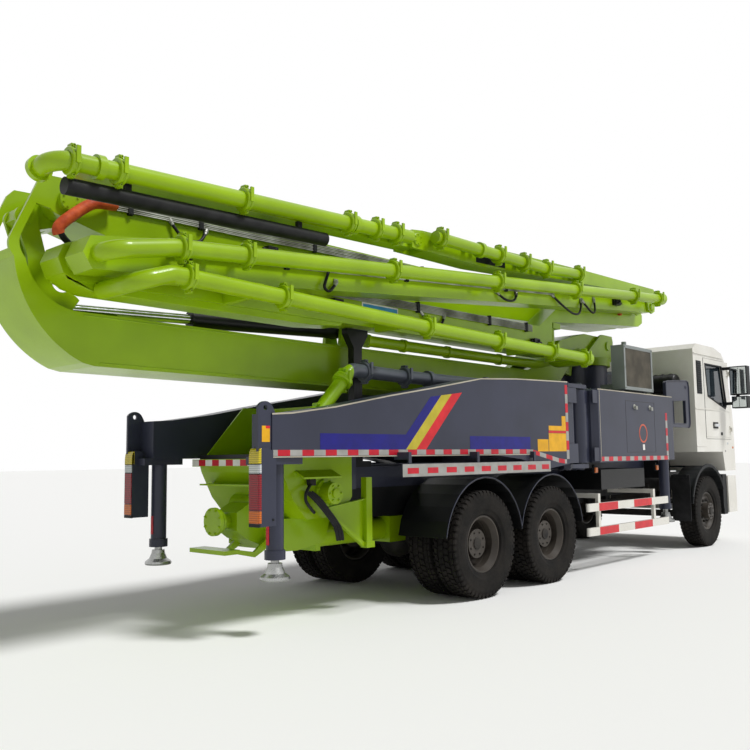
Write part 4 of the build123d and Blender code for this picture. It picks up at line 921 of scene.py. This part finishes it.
# Boom: couplings round the pipes, steel lines and hoses along the arms, bolted pin covers
couplingSettings = {"width": 62, "outer": 97, "inner": 66}
pipeRuns = {
    "arm_6": {"y": -965, "line": [(-6000, 3496), (-2260, 3668)],
              "at": (-5884, -5522, -4380, -3157, -2777, -2479)},
    "arm_5": {"y": -1045, "line": [(-1950, 3712), (300, 3735), (1150, 3800)],
              "at": (-1862, -784, -259, 250, 1050)},
    "arm_4": {"y": -1085, "line": [(-5140, 3011), (3512, 3796)],
              "at": (-5060, -4448, -2664, -880, 904, 2589, 3420)},
    "arm_3": {"y": -1085, "line": [(-5150, 2812), (-2000, 2738), (1250, 2690)],
              "at": (-5000, -4060, -2160, -900, 240, 1060)},
}


def addCoupling(shape, place, ahead, settings):
    # a two-part clamp: a thick ring with two pairs of bolted lugs and a closing lever
    ahead = Vector(ahead).normalized()
    place = Vector(place)
    half, outer, inner = settings["width"] / 2, settings["outer"], settings["inner"]
    section = [(-half, inner), (-half, outer - 4), (-half + 8, outer + 3), (-8, outer + 3), (-6, outer - 3)]
    section += [(-a, r) for a, r in reversed(section)]
    addTurned(shape, section, place, ahead, 28, closed=True)
    for way in (-1, 1):
        lug = place + Vector((0, 0, way * (outer + 8)))
        addBox(shape, lug.x - 17, lug.x + 17, lug.y - 30, lug.y + 30, lug.z - 16, lug.z + 16)
        addTurned(shape, [(-44, 8), (44, 8)], lug, (0, 1, 0), 8)
        addTurned(shape, [(-44, 14), (-32, 14)], lug, (0, 1, 0), 6)
        addTurned(shape, [(32, 14), (44, 14)], lug, (0, 1, 0), 6)
    lug = place + Vector((0, -outer - 4, 0))
    addBox(shape, lug.x - 16, lug.x + 16, lug.y - 8, lug.y + 10, lug.z - 34, lug.z + outer * 0.9)


for body, run in pipeRuns.items():
    def buildCouplings(shape):
        for x in run["at"]:
            ahead = (20, 0, lineAt(run["line"], x + 10) - lineAt(run["line"], x - 10))
            addCoupling(shape, (x, run["y"], lineAt(run["line"], x)), ahead, couplingSettings)
    newPiece("couplings_" + body, body, "limeEnamel", buildCouplings, bevelMm=2)

# Steel lines: six side by side along an arm, held by bolted plastic clamps
steelLines = {
    "arm_2": {"y": -252, "clamps": (-4999, -4300, -2916, -1200, 700, 2600),
              "route": [(-5180, 3500), (-4694, 3520), (-3739, 3530), (-2916, 3566), (-648, 3596),
                        (1426, 3604), (3300, 3600)]},
    "arm_3": {"y": -630, "clamps": (-4900, -3300, -1750, -400, 420),
              "route": [(-5080, 3010), (-2400, 3042), (-300, 3060), (560, 3070)]},
    "arm_4": {"y": -940, "clamps": (-4900, -3900, -2300, -500),
              "route": [(-5087, 3020), (-4248, 3090), (-3377, 3160), (-1200, 3350), (600, 3505)]},
}
bundleSettings = {"count": 6, "space": 15, "radius": 6.5}


def lineBundle(route, y, settings):
    # routes of lines side by side, the topmost first
    count, space = settings["count"], settings["space"]
    return [[(x, y - (i % 2) * 3, z + (count / 2 - i) * space) for x, z in route] for i in range(count)]


for body, lines in steelLines.items():
    bundle = lineBundle(lines["route"], lines["y"] - 6, bundleSettings)
    newTubes("steelLines_" + body, body, "zincTube", bundle, bundleSettings["radius"])

    def buildLineClamps(shape):
        for x in lines["clamps"]:
            z = lineAt(lines["route"], x) + 8
            addBox(shape, x - 22, x + 22, lines["y"] - 22, lines["y"] + 14, z - 58, z + 58)
            for at in (z - 50, z + 50):
                addNut(shape, (x, lines["y"] - 22, at), (0, -1, 0), 9, 8)
    newPiece("lineClamps_" + body, body, "mouldedPlastic", buildLineClamps, bevelMm=3)

# Orange fire sleeve over the hoses that cross the rear hinge, between the first and second arms, the three
# hoses that come out of it, and the sleeve at the front of the third arm
newTubes("hingeSleeve", None, "fireSleeve",
         [[(-5170, -300, 3492), (-5245, -335, 3482), (-5382, -352, 3459), (-5512, -358, 3358),
           (-5623, -358, 3257), (-5669, -350, 3194), (-5650, -345, 3160)]], 46,
         joint=("arm_2", "arm_1", (-5.25, -0.335, 3.48), (-5.62, -0.358, 3.26)))
newTubes("hingeHoses", "arm_1", "hoseRubber",
         [[(-5655 + i * 6, -350 - i * 8, 3180), (-5640 + i * 12, -350 - i * 8, 3140),
           (-5603 + i * 16, -345 - i * 6, 3110), (-5513 + i * 22, -335 - i * 4, 3061 - i * 5),
           (-5440 + i * 24, -312, 3040), (-5380 + i * 24, -300, 3030)] for i in range(3)], 13)
newTubes("frontSleeve", "arm_3", "fireSleeve",
         [[(2280, -650, 3560), (2480, -690, 3640), (2700, -700, 3690), (2960, -690, 3650),
           (3050, -650, 3560)]], 36)

# Short jumper hoses on the arms' sides, each with a fitting at both ends
armHoses = {
    "arm_4": [
        [(540, -945, 3470), (800, -975, 3330), (1070, -985, 3262), (1240, -975, 3330), (1300, -945, 3500)],
        [(1330, -945, 3500), (1480, -975, 3370), (1580, -985, 3350), (1650, -970, 3420), (1660, -945, 3560)],
        [(-3377, -945, 3180), (-3460, -975, 3040), (-3500, -985, 2960), (-3400, -975, 2930),
         (-3300, -945, 3050)],
        [(-700, -945, 3330), (-600, -980, 3250), (-450, -985, 3245), (-330, -975, 3290), (-280, -945, 3370)],
    ],
    "arm_3": [
        [(-3700, -630, 3010), (-3620, -655, 2900), (-3480, -660, 2860), (-3360, -650, 2900),
         (-3300, -630, 3000)],
        [(-1700, -630, 3020), (-1600, -655, 2900), (-1450, -660, 2880), (-1330, -650, 2920),
         (-1280, -630, 3020)],
    ],
    "arm_2": [
        [(-4620, -255, 3500), (-4560, -290, 3380), (-4440, -300, 3330), (-4300, -290, 3360),
         (-4240, -255, 3480)],
        [(1500, -255, 3590), (1560, -290, 3480), (1680, -300, 3420), (1800, -290, 3440), (1860, -255, 3560)],
    ],
}
for body, routes in armHoses.items():
    newTubes("jumperHoses_" + body, body, "hoseRubber", routes, 14)

    def buildHoseEnds(shape):
        for route in routes:
            for end, after in ((0, 1), (-1, -2)):
                place = Vector(route[end])
                ahead = Vector(route[after]) - place
                addTurned(shape, [(-8, 20), (26, 20), (30, 17), (52, 17)], place, ahead, 10)
                x, y, z = place
                addBox(shape, x - 24, x + 24, y - 2, y + 26, z - 16, z + 30)
    newPiece("hoseEnds_" + body, body, "zincTube", buildHoseEnds, bevelMm=2)

# Rounded foot of the third arm's tail, and the return pipe along the first arm
tailSettings = {"outline": [(-5770, 2870), (-5735, 2800), (-5640, 2735), (-5500, 2700), (-3300, 2700),
                            (-2900, 2730), (-2850, 2775), (-5700, 2775)], "y0": -600, "y1": -350}
returnSettings = {"radius": 60, "y": -352,
                  "route": [(-2290, 2672), (900, 2672), (1250, 2690), (1900, 2870), (2280, 2940)],
                  "rings": (-2260, -1670, -875, 200),
                  "ring": [(-24, 60), (-24, 72), (24, 72), (24, 60)]}
newPiece("tailCheek", "arm_3", "limeEnamel", lambda shape: addPrism(
    shape, tailSettings["outline"], tailSettings["y0"], tailSettings["y1"]), bevelMm=6)
returnRoute = [(x, returnSettings["y"], z) for x, z in returnSettings["route"]]
newTubes("returnPipe", "arm_1", "limeEnamel", [returnRoute], returnSettings["radius"])
newPiece("returnPipeRings", "arm_1", "limeEnamel", lambda shape: [addTurned(
    shape, returnSettings["ring"], (x, returnSettings["y"], 2672), (1, 0, 0), 24, closed=True)
    for x in returnSettings["rings"]])

# Valve blocks on the arms' sides
valveSettings = {"arm_3": [(-3000, -622, 2930), (600, -622, 2900)],
                 "arm_2": [(-3500, -242, 3420), (-1500, -242, 3470)],
                 "arm_4": [(2300, -932, 3600)]}
for body, places in valveSettings.items():
    def buildValves(shape):
        for x, y, z in places:
            addBox(shape, x - 62, x + 62, y - 66, y + 4, z - 44, z + 44)
            addTurned(shape, [(0, 20), (70, 20), (76, 14)], (x + 60, y - 34, z), (1, 0, 0), 14)
            addTurned(shape, [(0, 15), (46, 15)], (x - 60, y - 34, z + 10), (-1, 0, 0), 12)
            addNut(shape, (x - 30, y - 66, z - 16), (0, -1, 0), 13, 16)
            addNut(shape, (x + 28, y - 66, z + 14), (0, -1, 0), 13, 16)
    newPiece("valves_" + body, body, "blackEnamel", buildValves, bevelMm=3)

# Bare signs on the boom: a sky-blue panel with a white border and a dark panel, without words
signSettings = {"blue": (-2597, -2075, 2895, 2990), "border": (-2612, -2060, 2880, 3005), "blueY": -620,
                "dark": [(-1066, 3618), (-478, 3640), (-478, 3728), (-1066, 3706)], "darkY": -930}
blueFace = flatFace(signSettings["blueY"])
newPiece("blueSign", "arm_3", "skyFilm", sheets([rectangle(*signSettings["blue"])], blueFace))
newPiece("blueSignBorder", "arm_3", "whiteFilm", sheets([rectangle(*signSettings["border"])], blueFace, 1.0))
newPiece("darkSign", "arm_5", "blackEnamel", sheets([signSettings["dark"]], flatFace(signSettings["darkY"])))

# Round bolted covers at the ends of the hinge pins: place, side, radius and number of bolts
pinCovers = {
    "arm_1": [((-5550, -308, 3450), -1, 84, 8), ((-5550, 308, 3450), 1, 84, 8)],
    "arm_3": [((-5640, -622, 2910), -1, 95, 8)],
    "arm_2": [((3760, -242, 3590), -1, 84, 8), ((3760, 272, 3590), 1, 78, 8)],
    "arm_5": [((3560, -932, 3700), -1, 66, 6), ((-2100, -932, 3680), -1, 66, 6)],
}


def addPinCover(shape, place, sign, radius, bolts):
    x, y, z = place
    addTurned(shape, [(-2, radius), (10, radius), (14, radius - 5)], place, (0, sign, 0), 32)
    addBoltRing(shape, (x, y + sign * 12, z), (0, sign, 0), radius * 0.72, bolts, radius * 0.11, 8,
                turned=0.5)


for body, covers in pinCovers.items():
    def buildCovers(shape):
        for cover in covers:
            addPinCover(shape, *cover)
    newPiece("pinCovers_" + body, body, "limeEnamel", buildCovers)

# First arm: the weld seams of its stiffeners and the ring round the access hole at its rear
seamSettings = {"y": 280, "hole": (-5050, 2990), "ring": [(-2, 72), (7, 72), (7, 56), (-2, 56)],
                "seams": ([(-5400, 2575), (980, 2575)], [(-5260, 2212), (1420, 2186)])}


def buildArmSeams(shape):
    x, z = seamSettings["hole"]
    for sign in (-1, 1):
        y = sign * seamSettings["y"]
        addTurned(shape, seamSettings["ring"], (x, y, z), (0, sign, 0), 36, closed=True)
        for line in seamSettings["seams"]:
            addBead(shape, line, y, 6, 6)


newPiece("armSeams", "arm_1", "limeEnamel", buildArmSeams)
print("boom dressed")


# Cab: black window surrounds, mirrors, door handles, wipers, lamps and grille
cabSettings = {
    "frontX": 6040, "slopeFrom": 2150, "slope": 210 / 810, "side": -1200,
    "screenFrame": [(-1186, -1064, 2158, 2958), (1064, 1186, 2158, 2958), (-1064, 1064, 2906, 2958),
                    (-1064, 1064, 2158, 2178)],
    "grille": [(5996, 6001, -752, 752, 1258, 1742), (6038, 6046, -1150, 1150, 1800, 1822),
               (6038, 6050, -900, 900, 1180, 1206)],
    "window": [(4870, 2900), (4940, 2380), (5700, 2200), (5760, 2260), (5600, 2900)],
    "slats": 14, "slatStep": 36, "lowestSlat": 2425,
    "arch": (4780, 550), "archBand": (736, 708), "archTurns": range(34, 163, 6),
}
cabSide = cabSettings["side"]


def cabFront(z):
    return cabSettings["frontX"] - max(0, z - cabSettings["slopeFrom"]) * cabSettings["slope"]


def buildScreenFrame(shape):
    # flat strips against the sloping front, and the grille below
    for y0, y1, z0, z1 in cabSettings["screenFrame"]:
        addPrism(shape, [(cabFront(z0) - 2, z0), (cabFront(z0) + 5, z0), (cabFront(z1) + 5, z1),
                         (cabFront(z1) - 2, z1)], y0, y1)
    for box in cabSettings["grille"]:
        addBox(shape, *box)


def buildVent(shape):
    addBox(shape, 4500, 4700, cabSide - 6, cabSide + 4, 2400, 2930)
    for i in range(cabSettings["slats"]):
        z = cabSettings["lowestSlat"] + i * cabSettings["slatStep"]
        slat = [(cabSide - 6, z), (cabSide - 16, z - 8), (cabSide - 14, z + 4), (cabSide - 6, z + 14)]
        addPrism(shape, slat, 4516, 4684, "yz")
    addBox(shape, 4792, 4802, cabSide - 4, cabSide + 2, 1700, 2990)
    addBox(shape, 5590, 5620, cabSide - 3, cabSide + 2, 1480, 1500)


def buildDoorSeals(shape):
    # the window's rubber, the handle's recess, the mirrors' backs and arms, and small fittings
    addBead(shape, cabSettings["window"] + cabSettings["window"][:1], cabSide + 4, 15, past=6)
    boxes((5108, 5334, cabSide - 4, cabSide + 2, 1858, 1962), (5605, 5765, -1604, -1326, 2416, 2894),
          (5605, 5765, -1594, -1346, 2196, 2394), (5636, 5704, -1454, -1196, 2846, 2894),
          (5636, 5704, -1454, -1196, 2256, 2304), (5646, 5694, -1454, -1406, 2256, 2894),
          (5560, 5600, -1216, -1196, 2835, 2905), (5440, 5520, cabSide - 5, cabSide + 2, 1750, 1800))(shape)


def buildHandle(shape):
    addBox(shape, 5137, 5303, cabSide - 38, cabSide - 14, 1887, 1933)
    addTurned(shape, [(-2, 15), (5, 15)], (5316, cabSide - 3, 1910), (0, -1, 0), 16)


newPiece("screenFrame", "chassis", "mouldedPlastic", buildScreenFrame, bevelMm=2)
newPair("cabVent", "chassis", "mouldedPlastic", buildVent, 2)
newPair("cabTrim", "chassis", "whiteEnamel",
        boxes((4400, 5640, cabSide - 14, cabSide + 2, 3034, 3050),
              (4400, 4794, cabSide - 9, cabSide + 2, 2150, 2172),
              (4400, 4790, cabSide - 7, cabSide + 2, 1560, 1576)), 4)
newPair("doorTrim", "door_{side}", "whiteEnamel",
        boxes((4810, 5890, cabSide - 9, cabSide + 2, 2150, 2172),
              (4812, 5888, cabSide - 6, cabSide + 2, 1720, 1734)), 4)
newPair("doorSeals", "door_{side}", "mouldedPlastic", buildDoorSeals, 6)
newPair("mirrorPanes", "door_{side}", "mirrorGlass",
        boxes((5601, 5606, -1588, -1342, 2434, 2876), (5601, 5606, -1578, -1362, 2212, 2378)), 2)
newPair("doorHandles", "door_{side}", "hardChrome", buildHandle, 5)
newPair("headlamps", "chassis", "clearLens",
        boxes((6085, 6104, -985, -655, 712, 888), (5690, 5750, cabSide - 4, cabSide + 2, 1600, 1632)), 9)
newPair("flashers", "chassis", "amberLens",
        boxes((6060, 6092, -1068, -1002, 722, 878), (5930, 5985, cabSide - 4, cabSide + 10, 1530, 1566)), 6)
newPiece("bumperTrim", "chassis", "mouldedPlastic",
         boxes((6086, 6101, -1010, -630, 692, 704), (6086, 6101, -1010, -630, 896, 908),
               (6092, 6102, -600, 600, 560, 700), *((6092, 6106, y - 30, y + 30, 590, 604)
                                                    for y in range(-480, 481, 120))), bevelMm=4)
newPiece("blankPlate", "chassis", "whiteFilm", boxes((6100, 6108, -220, 220, 740, 880)), bevelMm=3)
for number, sign in enumerate((-1, 1)):
    newTubes("wiper" + str(number), "chassis", "blackEnamel",
             [[(6058, sign * 130 + 260, 2150), (5998, sign * 130 + 200, 2420),
               (5955, sign * 130 + 110, 2560)],
              [(6020, sign * 130 + 230, 2240), (5930, sign * 130 + 40, 2640)]], 8)


def archOutline(x, z, outer, inner, turns):
    # the outline of a band round a wheel arch, over these degrees
    line = [(outer, t) for t in turns] + [(inner, t) for t in reversed(turns)]
    return [(x + radius * cos(radians(t)), z + radius * sin(radians(t))) for radius, t in line]


archLip = archOutline(*cabSettings["arch"], *cabSettings["archBand"], cabSettings["archTurns"])
newPair("archLip", "chassis", "mouldedPlastic", lambda shape: addPrism(shape, archLip, -1219, -1190), 4)
newPair("mudFlaps", "chassis", "hoseRubber",
        boxes((4052, 4064, -1190, -900, 430, 1130), (4040, 4052, -1150, -940, 1090, 1140)), 3)

# Thin lip round the edge of each rear fender
fenderSettings = {"axles": (-50, -1400), "height": 550, "band": (692, 684), "turns": range(10, 171, 5)}


def buildFenderEdge(shape):
    for x in fenderSettings["axles"]:
        outline = archOutline(x, fenderSettings["height"], *fenderSettings["band"], fenderSettings["turns"])
        addPrism(shape, outline, -1219, -1212)


newPair("fenderEdge", "chassis", "slateEnamel", buildFenderEdge)
print("cab dressed")

# Cooler: upright fins in both open faces, the core between them, bolts round the frame, and its hoses
coolerSettings = {"x0": 2035, "x1": 2845, "z0": 2380, "z1": 2905, "step": 15,
                  "boltX": (2010, 2870), "boltZ": (2360, 2640, 2925), "hoseX": (2100, 2780)}


def buildFins(shape):
    x0, x1, z0, z1, step = (coolerSettings[key] for key in ("x0", "x1", "z0", "z1", "step"))
    for x in range(x0 + 6, x1, step):
        addBox(shape, x - 1.6, x + 1.6, -1184, -1166, z0, z1)
        addBox(shape, x - 1.2, x + 1.2, -1046, -1012, z0, z1)
    addBox(shape, x0, x1, -1168, -1148, z0, z1)


def buildCoolerBars(shape):
    for x in coolerSettings["boltX"]:
        for z in coolerSettings["boltZ"]:
            addNut(shape, (x, -1190, z), (0, -1, 0), 9, 8)
    addTurned(shape, [(0, 34), (60, 34), (64, 28)], (2200, -1095, 2948), (0, 0, 1), 18)
    for x in coolerSettings["hoseX"]:
        addTurned(shape, [(0, 24), (80, 24)], (x, -1090, 2336), (0, 0, -1), 14)


newPiece("coolerFins", "chassis", "coolerFins", buildFins)
newPiece("coolerBars", "chassis", "coolerFrame", buildCoolerBars, bevelMm=2)
newTubes("coolerHoses", "chassis", "hoseRubber",
         [[(2100, -1090, 2262), (2100, -1085, 2200), (2105, -1020, 2150), (2140, -860, 2130),
           (2160, -700, 2130)],
          [(2780, -1090, 2262), (2780, -1085, 2200), (2760, -1020, 2150), (2700, -860, 2130),
           (2680, -700, 2130)]], 22)

# Hopper: tape on the rim, hoses at its side, bolts round the bearing housings and the outlet, grease pumps
hopperSettings = {"x": -3730.5, "z0": 1391, "z1": 1449, "half": 636, "step": 106, "patches": 12,
                  "shaft": (-3130, 1130), "outlet": (-3962, 0, 890)}
for wanted, paint, name in ((0, "redFilm", "rimTapeRed"), (1, "whiteFilm", "rimTapeWhite")):
    x, z0, z1, step = (hopperSettings[key] for key in ("x", "z0", "z1", "step"))
    starts = [-hopperSettings["half"] + i * step for i in range(wanted, hopperSettings["patches"], 2)]
    newPiece(name, "chassis", paint, boxes(*((x - 1.5, x + 1, y, y + step, z0, z1) for y in starts)))

newTubes("hopperHoses", "chassis", "hoseRubber",
         [[(-3400 + i * 26, -640 - i * 8, 1150), (-3350 + i * 30, -690 - i * 10, 1090),
           (-3240 + i * 30, -700, 980), (-3140 + i * 30, -700, 880), (-3060 + i * 34, -690, 780),
           (-3010 + i * 34, -650, 690)]
          for i in range(3)] +
         [[(-3330, -640, 1230), (-3440, -700, 1180), (-3480, -705, 1090), (-3400, -690, 1010),
           (-3300, -640, 960)]],
         15)


def buildHopperBolts(shape):
    x, z = hopperSettings["shaft"]
    for sign in (-1, 1):
        addBoltRing(shape, (x, sign * 630, z), (0, sign, 0), 114, 8, 12, 12, turned=0.5)
        addBoltRing(shape, (x, sign * 750, z), (0, sign, 0), 74, 6, 11, 10)
        addTurned(shape, [(-2, 46), (16, 46), (20, 38)], (x, sign * 750, z), (0, sign, 0), 24)
    addBoltRing(shape, hopperSettings["outlet"], (-1, 0, 0), 112, 8, 11, 10, turned=0.5)
    for y in (-340, -170, 170, 340):
        for z in (680, 850):
            addNut(shape, (-3481, y, z), (-1, 0, 0), 14, 13)


def buildGreasePumps(shape):
    for sign in (-1, 1):
        addTurned(shape, [(0, 30), (34, 30), (38, 22)], (-3300, sign * 618, 1290), (0, sign, 0), 16)
        y0, y1 = sorted((sign * 616, sign * 668))
        addBox(shape, -3372, -3300, y0, y1, 1206, 1262)
    for y in (-500, -430):
        addTurned(shape, [(0, 20), (60, 20)], (-3650, y, 1235), (-1, 0, 0), 12)


newPiece("hopperBolts", "chassis", "limeEnamel", buildHopperBolts)
newPiece("greasePumps", "chassis", "castIron", buildGreasePumps, bevelMm=2)

# Couplings of the delivery pipe on the deck: place and direction
deckCouplings = [((-3300, -672, 1840), (1, 0, 1)), ((-2950, -672, 2190), (1, 0, 1)),
                 ((-2600, -634, 2300), (1, 0, 0.1)), ((-1900, -560, 2300), (1, 0, 0)),
                 ((500, -560, 2300), (1, 0, 0)), ((2000, -560, 2300), (1, 0, 0))]


def buildDeckCouplings(shape):
    for place, ahead in deckCouplings:
        addCoupling(shape, place, ahead, couplingSettings)


newPiece("deckCouplings", "chassis", "pumpLine", buildDeckCouplings, bevelMm=2)
print("hopper and cooler dressed")

for node in nodes.values():
    softenEdges(node, 6, 40)

print("scene finished")
